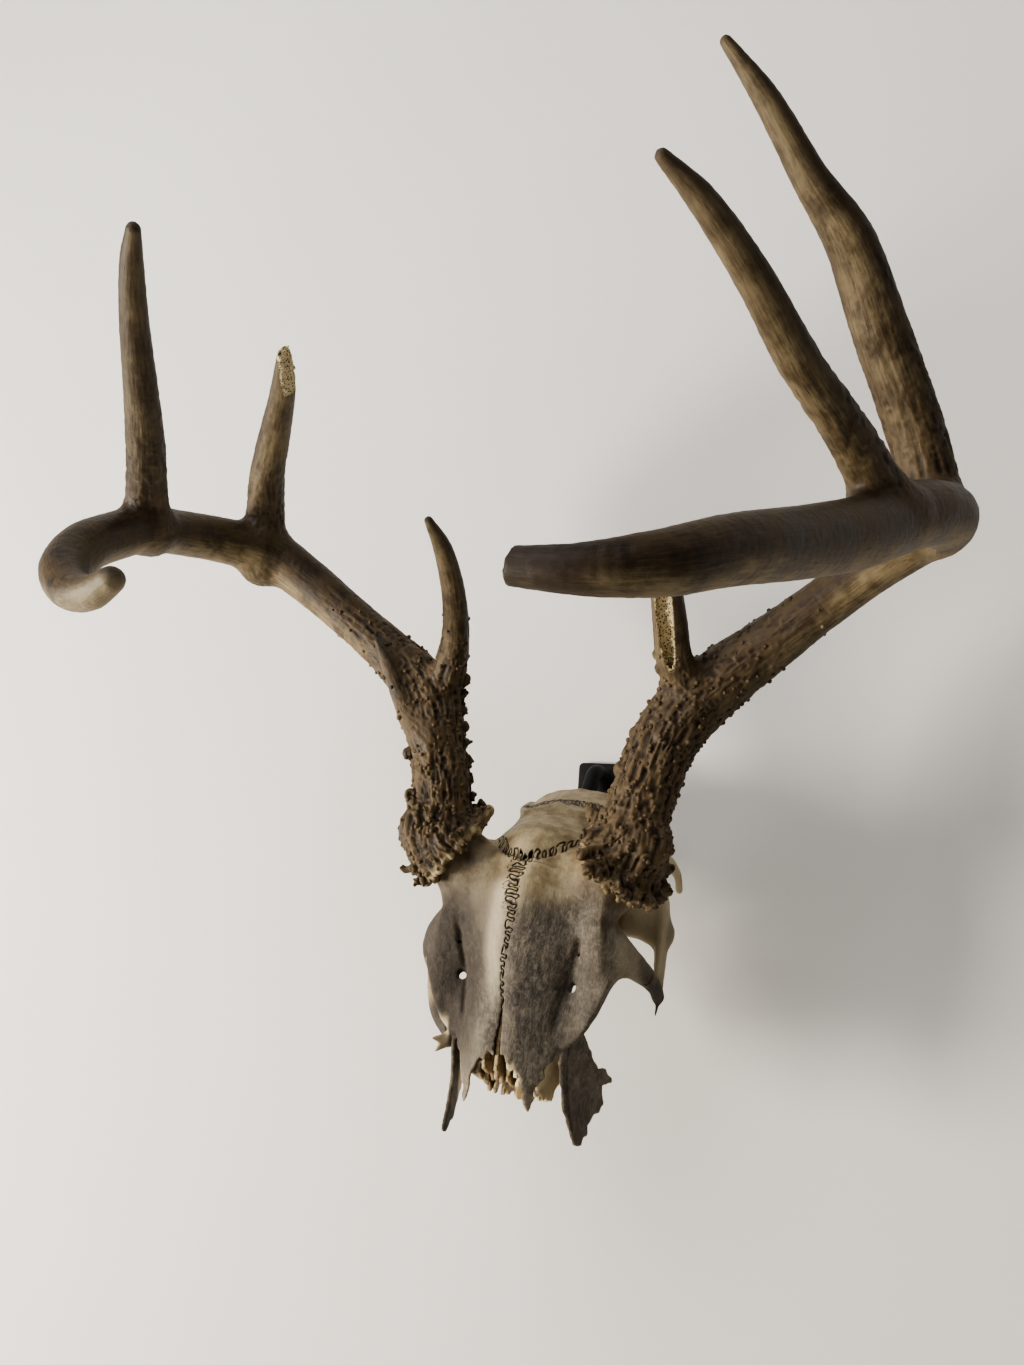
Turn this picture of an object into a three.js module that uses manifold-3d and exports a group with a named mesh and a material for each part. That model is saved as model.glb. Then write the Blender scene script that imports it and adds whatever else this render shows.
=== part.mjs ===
// White-tailed deer skull with both antlers, muzzle broken short, hung nose down on a small steel bracket.
// Millimetres, +Z up, +X to the animal's left, +Y into the wall.
// The origin is on the back face of the wall plate, at its middle.
// The bones are modelled in the skull's own frame and turned as one group:
//   x to the animal's left, y towards the back of the head, z out of the forehead, origin near the bregma.

import * as THREE from 'three';
import { mergeVertices } from 'three/addons/utils/BufferGeometryUtils.js';
import Module from 'manifold-3d';

const wasm = await Module();
wasm.setup();

// ---------------------------------------------------------------- driving dimensions

const GAP = 0.3;                 // clearance between neighbouring solids
const LIFT = 32;                 // degrees that the nose stands out from plumb
const WALL_TO_BREGMA = 122;      // wall plane to the skull's own origin
const BREGMA_HEIGHT = -8;        // skull origin above the middle of the wall plate

const PLATE = { width: 38, height: 96, depth: 4, corner: 3, screws: 36 };
const HOOK = { radius: 5, boss: 9, bossDepth: 6, height: 34 };
const FORAMEN_MAGNUM = { radius: 8.5, mouth: 80, floor: 46, z: -51 };

const ROOF_THICKNESS = 6;
const FACE_THICKNESS = 3.2;
const CORONAL = -15;             // y where the coronal suture crosses the midline
const LAMBDOID = 44;             // y of the suture in front of the occipital bone
const SQUAMOSAL = -30;           // z of the suture between parietal and temporal bones
const ROOF_FLOOR = -36;          // z where the frontal bones end on the skull base
const BASE_HALF_WIDTH = 17;      // half width of the bones in the middle of the skull base
const NOSE_START = -77;          // y where the inside of the nose begins to show
const NOSE_FLOOR = -50;          // z below every part of the frontal bones' front spikes
const CHEEK_END = -52.5;         // y where the cheek bone meets the temporal bone's arm
const CHEEK_ROOT = 43;           // x where the cheek bone meets the upper jaw
const ARCH = 48;                 // x outside which only the cheek arch runs
const JAW_END = -42.5;           // y where the upper jaw meets the temporal bone
const PALATE_TOP = -66.5;        // z just above the hard palate
const FAR = 140;                 // well outside every bone
const BURR = { radius: 24, height: 9, lean: [0.7, 0.34, 0.63], foot: [46, -8, 2] };

const COLOURS = {
  bone: 0xc9b48c,
  weathered: 0x7d766c,
  turbinate: 0xb98f4f,
  antler: 0x7b6a50,
  steel: 0x151515,
};

// ---------------------------------------------------------------- solids

function solidFrom(geometry) {
  const bare = geometry.index ? geometry.toNonIndexed() : geometry.clone();
  bare.deleteAttribute('normal');
  bare.deleteAttribute('uv');
  const merged = mergeVertices(bare, 1e-4);
  return new wasm.Manifold(new wasm.Mesh({
    numProp: 3,
    vertProperties: new Float32Array(merged.attributes.position.array),
    triVerts: new Uint32Array(merged.index.array),
  }));
}

function geometryFrom(solid) {
  const { vertProperties, triVerts } = solid.getMesh();
  const geometry = new THREE.BufferGeometry();
  geometry.setAttribute('position', new THREE.BufferAttribute(vertProperties, 3));
  geometry.setIndex(new THREE.BufferAttribute(triVerts, 1));
  return geometry;
}

function joined(solids) {
  return solids.reduce((whole, solid) => whole.add(solid));
}

function box(low, high) {
  const size = high.map((value, axis) => value - low[axis]);
  const middle = high.map((value, axis) => (value + low[axis]) / 2);
  return solidFrom(new THREE.BoxGeometry(...size).translate(...middle));
}

function ellipsoid(centre, radii, around = 20, along = 14) {
  return solidFrom(new THREE.SphereGeometry(1, around, along).scale(...radii).translate(...centre));
}

function prism(outline, low, high) {
  const shape = new THREE.Shape(outline.map(([x, y]) => new THREE.Vector2(x, y)));
  const geometry = new THREE.ExtrudeGeometry(shape, { depth: high - low, bevelEnabled: false });
  return solidFrom(geometry.translate(0, 0, low));
}

function mapped(geometry, place) {
  const position = geometry.attributes.position;
  const point = new THREE.Vector3();
  for (let i = 0; i < position.count; i += 1) {
    place(point.fromBufferAttribute(position, i));
    position.setXYZ(i, point.x, point.y, point.z);
  }
  return geometry;
}

// A value that runs smoothly through [position, value] pairs.
function profile(pairs) {
  return (at) => {
    const last = pairs.length - 1;
    if (at <= pairs[0][0]) return pairs[0][1];
    if (at >= pairs[last][0]) return pairs[last][1];
    const i = pairs.findIndex(([position]) => position > at) - 1;
    const slope = (a, b) => (pairs[b][1] - pairs[a][1]) / (pairs[b][0] - pairs[a][0]);
    const span = pairs[i + 1][0] - pairs[i][0];
    const start = slope(Math.max(i - 1, 0), i + 1) * span;
    const end = slope(i, Math.min(i + 2, last)) * span;
    const t = (at - pairs[i][0]) / span;
    const rise = pairs[i + 1][1] - pairs[i][1];
    return pairs[i][1] + start * t + (3 * rise - 2 * start - end) * t * t
      + (start + end - 2 * rise) * t * t * t;
  };
}

// A round bar along a smooth line through stations [x, y, z, radius]. from and to count stations.
function bar(stations, { sides = 8, steps = 8, from = 0, to = stations.length - 1, extra = 0 } = {}) {
  const points = stations.map(([x, y, z]) => new THREE.Vector3(x, y, z));
  const curve = new THREE.CatmullRomCurve3(points, false, 'centripetal');
  const count = stations.length - 1;
  const girth = profile(stations.map((station, i) => [i, station[3]]));
  const chord = curve.getPoint(to / count).sub(curve.getPoint(from / count)).normalize();
  const side = Math.abs(chord.z) < 0.8 ? new THREE.Vector3(0, 0, 1) : new THREE.Vector3(1, 0, 0);
  const geometry = new THREE.CylinderGeometry(1, 1, 1, sides, steps);
  return solidFrom(mapped(geometry, (point) => {
    const at = from + (to - from) * (0.5 - point.y);
    const tangent = curve.getTangent(at / count);
    const across = new THREE.Vector3().crossVectors(tangent, side).normalize();
    const up = new THREE.Vector3().crossVectors(tangent, across);
    const radius = girth(at) + extra;
    const { x, z } = point;
    point.copy(curve.getPoint(at / count));
    point.addScaledVector(across, x * radius).addScaledVector(up, z * radius);
  }));
}

// A round body along the y axis whose half width, top and bottom follow profiles.
function loft(low, high, width, top, bottom, { around = 24, along = 12, square = 1 } = {}) {
  const geometry = new THREE.SphereGeometry(1, around, along);
  const flat = (value) => Math.sign(value) * Math.abs(value) ** square;
  return solidFrom(mapped(geometry, (point) => {
    const t = Math.acos(THREE.MathUtils.clamp(point.y, -1, 1)) / Math.PI;
    const ring = Math.hypot(point.x, point.z) || 1;
    const swell = Math.sin(Math.PI * t) ** 0.4;
    const y = high + (low - high) * t;
    const middle = (top(y) + bottom(y)) / 2;
    const reach = (top(y) - bottom(y)) / 2;
    point.set(
      flat(point.x / ring) * width(y) * swell,
      y,
      middle + flat(point.z / ring) * reach * swell,
    );
  }));
}

// ---------------------------------------------------------------- forehead

const ridgeHeight = profile([
  [-128, -34], [-110, -23], [-96, -16], [-82, -10], [-70, -5], [-60, 0.5], [-47, 7], [-30, 12],
  [-12, 13], [5, 11], [20, 5],
]);
const fallAcross = profile([
  [0, 0], [6, 0.7], [14, 5], [22, 10.5], [28, 14.5], [33, 14], [42, 12.5], [50, 15], [56, 20], [64, 30],
]);

function foreheadHeight(x, y) {
  const { smoothstep } = THREE.MathUtils;
  const fullness = 0.75 + 0.25 * smoothstep(-y, 20, 60);
  const brow = 7 * smoothstep(Math.abs(x), 42, 52) * smoothstep(y, -64, -52);
  return ridgeHeight(y) - fallAcross(Math.abs(x)) * fullness - brow;
}

// One side of the frontal outline seen from above, from the midline round by the eye socket to the front.
const FRONTAL_OUTLINE = [
  [-2, -17], [10, -13], [26, -3], [38, 3], [47, 2], [51, -8], [49, -20], [46, -30], [44, -40], [46.5, -47],
  [51.7, -54.6], [49.6, -60], [46, -68], [43, -75], [39.4, -82], [36, -87], [30, -91], [25, -95], [20, -103],
  [16, -123], [11, -108], [6, -104], [-2, -102],
];

function roof(thickness) {
  const half = 64;
  const front = -128;
  const back = 10;
  const geometry = new THREE.BoxGeometry(2, 1, 1, 14, 9, 1);
  const slab = solidFrom(mapped(geometry, (point) => {
    const x = point.x * half;
    const y = front + (point.y + 0.5) * (back - front);
    const under = (0.5 - point.z) * thickness;
    point.set(x, y, foreheadHeight(x, y) - under);
  }));
  const left = prism(FRONTAL_OUTLINE, -80, 40);
  const right = prism(FRONTAL_OUTLINE.map(([x, y]) => [-x, y]).reverse(), -80, 40);
  return slab.intersect(left.add(right));
}

// ---------------------------------------------------------------- antler dimensions

const LEFT_ANTLER = {
  beam: [
    [48.1, -7, 3.9, 15], [50.9, -5.6, 6.4, 15.2], [54, 12, 15, 15.3], [60, 33, 26, 15.4], [67, 49, 34, 16], [78, 63, 41, 16.3],
    [96, 76, 50, 15.2], [118, 88, 61, 13.3], [138, 97, 73, 12], [162, 106, 89, 12.2], [184, 112, 104, 13.8],
    [192, 103, 118, 14.2], [186, 80, 140, 13.5], [172, 50, 161, 13.6], [163, 26, 176, 13], [148, -14, 206, 11.6],
    [134, -52, 236, 10], [121, -75, 252, 8.6], [104, -84, 259, 6.4], [86, -84, 261, 4.6],
  ],
  forks: { brow: 5, second: 11, third: 13 },
  tines: {
    brow: [[77, 62, 40, 12], [75, 66, 52, 10], [72, 70, 69, 8.8], [73, 74, 90, 8.2], [74, 77, 104, 7]],
    second: [[189, 108, 112, 13.5], [184, 127, 134, 11.9], [177, 138, 156, 11.6], [166, 150, 188, 11.2],
      [156, 159, 220, 9.8], [142, 163, 246, 7], [127, 169, 277, 4.8], [114, 173, 298, 1.2]],
    third: [[172, 54, 162, 12], [166, 51, 184, 8.8], [158, 46, 208, 7.4], [146, 39, 239, 6.8], [136, 36, 269, 5.8],
      [124, 33, 297, 4.1], [115, 32, 312, 1]],
  },
};

const RIGHT_ANTLER = {
  beam: [
    [-48.1, -7, 3.9, 14.5], [-50.9, -5.6, 6.4, 14.8], [-53, 14, 17, 14.5], [-59, 38, 30, 14.5], [-66, 57, 39, 15.4],
    [-76, 71, 48, 15], [-96, 84, 61, 12.6], [-121, 98, 76, 12.2], [-148, 112, 92, 13.2], [-168, 118, 108, 13.8],
    [-183, 106, 128, 12.8], [-187, 86, 150, 12.1], [-184, 65, 170, 12], [-182, 43, 183, 11.7], [-176, 20, 195, 11.6],
    [-165, -4, 202, 11], [-146, -22, 206, 9], [-126, -30, 211, 7.2], [-111, -29, 217, 5],
  ],
  forks: { brow: 5, second: 9, third: 12, curl: 14 },
  tines: {
    brow: [[-66, 64, 36, 12], [-58, 71, 50, 9.6], [-49, 79, 69, 7.6], [-41, 84, 97, 6.4], [-36, 85, 130, 4.8],
      [-36, 83, 151, 1.2]],
    second: [[-172, 114, 104, 13.5], [-167, 132, 126, 10.6], [-158, 137, 146, 9.6], [-143, 139, 168, 8.4],
      [-125, 138, 192, 6.8], [-102, 133, 223, 4.2]],
    third: [[-184, 66, 168, 12], [-176, 70, 186, 9.8], [-163, 71, 207, 9], [-145, 71, 238, 7.7], [-125, 71, 274, 6.1],
      [-110, 71, 298, 4.4], [-101, 70, 309, 1.8]],
    sticker: [[-60, 36, 40, 7], [-72, 45, 47, 5.4], [-80, 57, 57, 4.6], [-87, 68, 67, 3.2], [-93, 76, 76, 1]],
  },
};

function burr(side, extra = 0) {
  const lean = new THREE.Vector3(...BURR.lean).normalize();
  lean.x *= side;
  const { radius, height } = BURR;
  const geometry = new THREE.CylinderGeometry(radius * 0.8 + extra, radius + extra, height + extra, 16, 1);
  geometry.translate(0, (height - extra) / 2 + GAP, 0);
  const turn = new THREE.Quaternion().setFromUnitVectors(new THREE.Vector3(0, 1, 0), lean);
  const [x, y, z] = BURR.foot;
  return solidFrom(geometry.applyQuaternion(turn).translate(side * x, y, z));
}

// ---------------------------------------------------------------- skull as a whole

const brainWidth = profile([[-30, 20], [-15, 28], [0, 32], [25, 32], [45, 33], [66, 32], [90, 28]]);
const brainTop = profile([[-30, 6], [-12, 13], [5, 9], [20, -3], [35, -14], [50, -25], [66, -37], [90, -44]]);
const brainBottom = profile([[-30, -60], [0, -66], [30, -70], [66, -72], [90, -66]]);
const OCCIPUT_FACE = 66;

const coreWidth = profile([[-112, 13], [-92, 16.5], [-70, 16.8], [-45, 16], [10, 16.8]]);
const coreTop = profile([[-112, -36], [-90, -21], [-70, -12], [-40, -2], [10, 0]]);
const coreBottom = profile([[-112, -54], [-80, -66], [-50, -66], [-20, -62], [10, -66]]);

function onSide(side, stations) {
  return stations.map(([x, ...rest]) => [side * x, ...rest]);
}

function pedicle(side) {
  const stations = [[-24, 22], [-10, 18], [0, 15.5]].map(([back, radius]) => [
    ...BURR.foot.map((value, axis) => value + BURR.lean[axis] * back), radius,
  ]);
  return bar(onSide(side, stations), { sides: 12, steps: 2 });
}

function socketRim(side) {
  return bar(onSide(side, [
    [41, -43, -12, 7], [50, -47.5, -23, 5.5], [55.5, -47, -31, 4], [60, -47, -42, 3.2], [63, -48.5, -53, 3.4],
  ]), { steps: 6 });
}

function cheekArm(side) {
  return bar(onSide(side, [
    [34, 22, -46, 10], [44, 16, -50, 7], [55, 8, -54, 5], [60, -8, -55, 4], [62, -27, -55, 3.4], [63, -47, -55, 3.4],
  ]), { sides: 7, steps: 6 });
}

function earRegion(side) {
  return joined([
    ellipsoid([side * 26, 26, -66], [8.5, 12, 11], 10, 6),
    bar(onSide(side, [[30, 32, -52, 9], [46, 31, -53, 6], [57, 27, -57, 4], [60, 21, -65, 2.6]]), { sides: 7, steps: 3 }),
    bar(onSide(side, [[28, 54, -60, 8], [31, 57, -76, 4.5], [29, 53, -92, 2]]), { sides: 7, steps: 3 }),
  ]);
}

function occiput() {
  return joined([
    ellipsoid([14, 66, -63], [9, 9, 11], 10, 6),
    ellipsoid([-14, 66, -63], [9, 9, 11], 10, 6),
    bar([[-33, 58, -60, 4], [-27, 62, -49, 4], [0, 65, -40, 4], [27, 62, -49, 4], [33, 58, -60, 4]],
      { sides: 6, steps: 8 }),
    bar([[0, 62, -70, 9], [0, 30, -72, 9], [0, -12, -64, 8]], { steps: 3 }),
  ]);
}

function wingPlate(side) {
  return bar(onSide(side, [[9, -4, -58, 6], [11, -14, -72, 3.5], [12, -22, -82, 2]]), { sides: 6, steps: 3 });
}

// The plate of the lacrimal bone and upper jaw in front of the eye socket, broken off along its lower edge.
const FACE_OUTLINE = [
  [-84, -30], [-98, -31], [-103, -35], [-115, -43], [-126, -55], [-124, -61], [-116, -67], [-113, -65], [-106, -70],
  [-98, -76], [-91, -69], [-86, -78], [-83, -68], [-85, -56], [-80, -47], [-76, -38], [-78, -31],
];
const FACE = { top: -25, halfWidth: 26, flare: 0.25 };

function facePlate(side) {
  const shape = new THREE.Shape(FACE_OUTLINE.map(([y, z]) => new THREE.Vector2(side * y, z)));
  const geometry = new THREE.ExtrudeGeometry(shape, { depth: FACE_THICKNESS, bevelEnabled: false });
  return solidFrom(mapped(geometry, (point) => {
    const x = FACE.halfWidth + FACE.flare * (FACE.top - point.y) + point.z;
    point.set(side * x, side * point.x, point.y);
  }));
}

// The part of the hard palate and cheek teeth that is left on the right side.
const PALATE_OUTLINE = [
  [-34, -40], [-34, -92], [-22, -98], [-8, -94], [4, -88], [9, -74], [5, -60], [10, -46], [4, -36], [-16, -34],
];
const MOLARS = { x: -28, back: -52, pitch: 7, lobes: 6, waist: 4, swell: 6, root: -62, crown: -86 };

// Three cheek teeth of two lobes each, as one row with a waist between the lobes.
function molarRow() {
  const { x, back, pitch, lobes, waist, swell, root, crown } = MOLARS;
  const outer = [];
  const inner = [];
  for (let step = 0; step <= 2 * lobes; step += 1) {
    const reach = step % 2 === 0 ? waist : swell;
    const y = back - step * pitch / 2;
    outer.push([x - reach, y]);
    inner.unshift([x + reach, y]);
  }
  return prism([...outer, ...inner], crown, root);
}

function upperJaw() {
  return joined([
    prism(PALATE_OUTLINE, -73, -68),
    bar([[-25, -44, -64, 6], [-28, -60, -62, 9], [-29, -80, -60, 9], [-27, -95, -60, 6]], { steps: 4 }),
    molarRow(),
  ]);
}

function cheekBone() {
  return bar([
    [-62.5, -46, -55, 3.6], [-59, -58, -61, 4], [-52, -70, -62, 5], [-42, -79, -58, 6], [-34, -84, -54, 5],
  ], { steps: 6 });
}

const templeHollow = (side) => ellipsoid([side * 52, -14, -46], [21, 22, 22], 12, 8);
const eyeHollow = (side) => ellipsoid([side * 50, -63, -43], [31, 21, 20], 12, 8);
const browHole = (side) => bar(onSide(side, [[26.5, -65, 0, 2.4], [31, -62, -40, 2.4]]), { sides: 6, steps: 1 });

// The room that the burr and the foot of the beam take, with clearance.
function antlerSeat(side, { beam, forks }) {
  return burr(side, GAP).add(bar(beam, { sides: 10, steps: 2 * forks.brow, to: forks.brow, extra: GAP }));
}

// The bones in the middle of the skull, from the turbinates inside the nose back to the braincase.
function core() {
  return loft(-112, 12, coreWidth, coreTop, coreBottom, { around: 14, along: 7, square: 0.75 });
}

function wholeSkull() {
  const brain = loft(-80, 120, brainWidth, brainTop, brainBottom, { around: 18, along: 11 })
    .intersect(box([-FAR, NOSE_START, -FAR], [FAR, OCCIPUT_FACE, FAR]));
  const middle = core().intersect(box([-FAR, NOSE_START, -FAR], [FAR, FAR, FAR]));
  const bodies = [brain, middle, roof(ROOF_THICKNESS), occiput(), upperJaw()];
  for (const side of [1, -1]) {
    bodies.push(pedicle(side), earRegion(side), wingPlate(side), facePlate(side));
  }
  let whole = joined(bodies);
  for (const side of [1, -1]) {
    const roofKept = box([side > 0 ? 8 : -80, -90, -24], [side > 0 ? 80 : -8, -30, 40]);
    whole = whole.subtract(eyeHollow(side).subtract(roofKept)).subtract(templeHollow(side).subtract(roofKept));
    whole = whole.add(socketRim(side)).add(cheekArm(side)).subtract(browHole(side));
  }
  const { radius, mouth, floor, z } = FORAMEN_MAGNUM;
  const nerveHole = bar([[0, mouth, z, radius], [0, floor, z, radius]], { sides: 14, steps: 1 });
  const seats = antlerSeat(1, LEFT_ANTLER).add(antlerSeat(-1, RIGHT_ANTLER));
  return whole.add(cheekBone()).subtract(nerveHole).subtract(seats);
}

// ---------------------------------------------------------------- bones cut from the whole

const CORONAL_LINE = [
  [-FAR, 26], [-40, 24], [-26, 11], [-17.5, -2.5], [-10, -11], [0, CORONAL],
  [10, -11], [17.5, -2.5], [26, 11], [40, 24], [FAR, 26],
];

function aheadOfCoronal(floor, clearance) {
  const line = CORONAL_LINE.map(([x, y]) => [x, y - clearance]).reverse();
  return prism([[-FAR, -FAR], [FAR, -FAR], ...line], floor, FAR);
}

function behindCoronal(floor, clearance) {
  const line = CORONAL_LINE.map(([x, y]) => [x, y + clearance]);
  return prism([...line, [FAR, LAMBDOID - GAP], [-FAR, LAMBDOID - GAP]], floor, FAR);
}

// The cuts leave crumbs too small to see, so only the bone itself is kept.
function largest(solid) {
  return solid.decompose().reduce((kept, piece) => (piece.volume() > kept.volume() ? piece : kept));
}

function cutBones() {
  const everything = [FAR, FAR, FAR];
  const whole = wholeSkull();
  const spikes = box([-26, -FAR, NOSE_FLOOR], [26, NOSE_START, FAR]);
  const frontal = whole.intersect(aheadOfCoronal(ROOF_FLOOR, GAP / 2).add(spikes));
  const above = aheadOfCoronal(ROOF_FLOOR - GAP, -GAP / 2).add(behindCoronal(SQUAMOSAL - GAP, -GAP / 2)).add(spikes);
  const lower = whole.subtract(above).subtract(box([-FAR, LAMBDOID - GAP, -FAR], everything));
  const inside = BASE_HALF_WIDTH;
  const outside = BASE_HALF_WIDTH + GAP;
  const palateBack = -33;
  const palate = box([-FAR, -FAR, -FAR], [12, palateBack, PALATE_TOP]);
  const palateClear = box([-FAR, -FAR, -FAR], [12, palateBack + GAP, PALATE_TOP + GAP]);
  const middle = lower.subtract(palateClear);
  const left = lower.intersect(box([outside, -FAR, -FAR], everything));
  const right = lower.intersect(box([-FAR, -FAR, -FAR], [-outside, FAR, FAR])).add(lower.intersect(palate));
  const cheek = box([-FAR, -FAR, -FAR], [-CHEEK_ROOT, CHEEK_END, FAR]);
  const cheekClear = box([-FAR, -FAR, -FAR], [-CHEEK_ROOT + GAP, CHEEK_END + GAP, FAR]);
  const behindJaw = box([-FAR, JAW_END, -FAR], everything);
  const leftArm = box([ARCH, -FAR, -FAR], everything);
  const rightArm = box([-FAR, CHEEK_END + GAP, -FAR], [-ARCH, FAR, FAR]);
  const besideLeft = box([ARCH - GAP, -FAR, -FAR], everything).add(box([-FAR, JAW_END - GAP, -FAR], everything));
  const besideRight = box([-FAR, -FAR, -FAR], [-ARCH + GAP, FAR, FAR]).add(box([-FAR, JAW_END - GAP, -FAR], everything));
  const bones = {
    frontal_left: frontal.intersect(box([GAP / 2, -FAR, -FAR], everything)),
    frontal_right: frontal.intersect(box([-FAR, -FAR, -FAR], [-GAP / 2, FAR, FAR])),
    parietal: whole.intersect(behindCoronal(SQUAMOSAL, GAP / 2)),
    occipital: whole.intersect(box([-FAR, LAMBDOID, -FAR], everything)),
    skull_base: middle.intersect(box([-inside, -FAR, -FAR], [inside, FAR, FAR])),
    turbinates: core().intersect(box([-FAR, -FAR, -FAR], [FAR, NOSE_START - GAP, FAR])).subtract(roof(ROOF_THICKNESS + GAP)),
    temporal_left: left.intersect(behindJaw.add(leftArm)),
    temporal_right: right.intersect(behindJaw.add(rightArm)).subtract(palateClear),
    upper_jaw_left: left.subtract(besideLeft),
    upper_jaw_right: right.subtract(cheekClear).subtract(besideRight.subtract(palateClear)),
    cheek_bone_right: right.intersect(cheek),
  };
  return Object.entries(bones).map(([name, solid]) => [name, largest(solid)]);
}

// ---------------------------------------------------------------- antlers

// The beam is cut at its forks, and each tine is cut where it grows out of the beam.
function antler(side, { beam, forks, tines }) {
  const name = side > 0 ? 'antler_left' : 'antler_right';
  const cuts = [0, ...Object.values(forks), beam.length - 1];
  const labels = ['base', 'beam', 'bend', 'front', 'curl'].slice(0, cuts.length - 1);
  const stretch = (i, inset, extra) => bar(beam, {
    sides: 10,
    steps: 2 * (cuts[i + 1] - cuts[i]),
    from: cuts[i] + (i > 0 ? inset : 0),
    to: cuts[i + 1] - (i < labels.length - 1 ? inset : 0),
    extra,
  });
  const pieces = {};
  labels.forEach((label, i) => {
    pieces[`${name}_${label}`] = stretch(i, GAP / 40, 0);
  });
  pieces[`${name}_base`] = pieces[`${name}_base`].add(burr(side));
  const skin = joined(labels.map((label, i) => stretch(i, 0, GAP)));
  for (const [label, stations] of Object.entries(tines)) {
    pieces[`${name}_${label}_tine`] = bar(stations, { steps: Math.round(1.5 * stations.length) }).subtract(skin);
  }
  return pieces;
}

// ---------------------------------------------------------------- bracket

function wallPlate() {
  const { width, height, depth, corner } = PLATE;
  const shape = new THREE.Shape();
  const [x, y] = [width / 2 - corner, height / 2 - corner];
  shape.absarc(x, y, corner, 0, Math.PI / 2);
  shape.absarc(-x, y, corner, Math.PI / 2, Math.PI);
  shape.absarc(-x, -y, corner, Math.PI, Math.PI * 1.5);
  shape.absarc(x, -y, corner, Math.PI * 1.5, Math.PI * 2);
  const geometry = new THREE.ExtrudeGeometry(shape, { depth, bevelEnabled: false, curveSegments: 4 });
  return solidFrom(geometry.rotateX(Math.PI / 2));
}

function disc(radius, depth, z) {
  const geometry = new THREE.CylinderGeometry(radius, radius * 0.85, depth, 14, 1);
  return solidFrom(geometry.translate(0, -PLATE.depth - GAP - depth / 2, z));
}

function hook(toPart) {
  const { mouth, floor, z } = FORAMEN_MAGNUM;
  const entry = new THREE.Vector3(0, mouth - 6, z).applyMatrix4(toPart);
  const tip = new THREE.Vector3(0, floor + 2, z).applyMatrix4(toPart);
  const start = -PLATE.depth - HOOK.bossDepth - 2 * GAP;
  const top = HOOK.height + 6;
  const rod = bar([
    [0, start + 4, HOOK.height, HOOK.radius], [0, start - 10, top, HOOK.radius],
    [0, entry.y + 9, entry.z + 11, HOOK.radius], [0, entry.y, entry.z, HOOK.radius], [0, tip.y, tip.z, HOOK.radius],
  ], { sides: 10, steps: 10 });
  return rod.intersect(box([-FAR, -2 * WALL_TO_BREGMA, -FAR], [FAR, start, FAR]));
}

// ---------------------------------------------------------------- group

const skull = new THREE.Group();
skull.rotation.x = THREE.MathUtils.degToRad(90 - LIFT);
skull.position.set(0, -WALL_TO_BREGMA, BREGMA_HEIGHT);
skull.updateMatrixWorld();

function addSolid(group, name, solid, colour, roughness, metalness = 0) {
  const material = new THREE.MeshStandardMaterial({ color: colour, roughness, metalness });
  const mesh = new THREE.Mesh(geometryFrom(solid), material);
  mesh.name = name;
  group.add(mesh);
}

for (const [name, solid] of cutBones()) {
  const colour = name === 'turbinates' ? COLOURS.turbinate : COLOURS.bone;
  addSolid(skull, name, solid, colour, 0.8);
}
for (const [side, shape] of [[1, LEFT_ANTLER], [-1, RIGHT_ANTLER]]) {
  for (const [name, solid] of Object.entries(antler(side, shape))) {
    addSolid(skull, name, largest(solid), COLOURS.antler, 0.6);
  }
}

const part = new THREE.Group();
part.add(skull);
addSolid(part, 'bracket_plate', wallPlate(), COLOURS.steel, 0.5, 0.4);
addSolid(part, 'bracket_boss', disc(HOOK.boss, HOOK.bossDepth, HOOK.height), COLOURS.steel, 0.5, 0.4);
addSolid(part, 'bracket_hook', hook(skull.matrixWorld), COLOURS.steel, 0.5, 0.4);
for (const [name, z] of [['bracket_screw_upper', 10], ['bracket_screw_lower', -PLATE.screws]]) {
  addSolid(part, name, disc(4, 2, z), COLOURS.steel, 0.5, 0.4);
}

export default part;
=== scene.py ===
# %% [markdown]
# # A white-tailed deer skull on its wall bracket
# The skull hangs nose down from a small black bracket. Its muzzle has broken away, so the front
# edges of the frontal bones end in two spikes, with the thin bone of the nose behind them.
# The measured CAD model is loaded first. It never moves: every piece below is built in its place.

import math

import bmesh
import bpy
import numpy as np
import openvdb as vdb
from mathutils import Matrix, Vector


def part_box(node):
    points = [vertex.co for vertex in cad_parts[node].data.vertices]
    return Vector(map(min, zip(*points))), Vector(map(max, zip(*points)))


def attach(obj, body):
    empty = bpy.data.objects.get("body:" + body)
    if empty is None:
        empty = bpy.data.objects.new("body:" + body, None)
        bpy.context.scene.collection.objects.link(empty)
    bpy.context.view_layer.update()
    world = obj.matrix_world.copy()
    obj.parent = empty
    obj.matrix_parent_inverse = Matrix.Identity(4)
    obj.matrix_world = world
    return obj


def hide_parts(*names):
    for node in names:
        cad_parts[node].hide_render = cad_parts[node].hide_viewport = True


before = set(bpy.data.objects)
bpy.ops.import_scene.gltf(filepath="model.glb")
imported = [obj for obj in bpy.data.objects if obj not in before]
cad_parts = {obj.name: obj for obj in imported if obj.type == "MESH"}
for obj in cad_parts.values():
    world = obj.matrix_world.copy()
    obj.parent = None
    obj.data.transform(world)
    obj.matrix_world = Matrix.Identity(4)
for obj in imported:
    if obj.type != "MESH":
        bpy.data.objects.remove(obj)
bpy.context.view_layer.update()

# %% [markdown]
# ## Two frames
# A skull is easiest to describe lying on its base: x to the animal's left, y to the back of the
# head, z out of the forehead, in millimetres, with the origin near the bregma, where the midline
# and coronal sutures meet. One turn and one shift then bring it to its place below the bracket.

# %% From the skull's own frame to the wall
TURN = math.radians(58)              # the nose stands 32 degrees out from plumb
BREGMA = np.array([0, -122, -8])     # the skull's origin, from the middle of the wall plate
MM = 0.001


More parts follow.
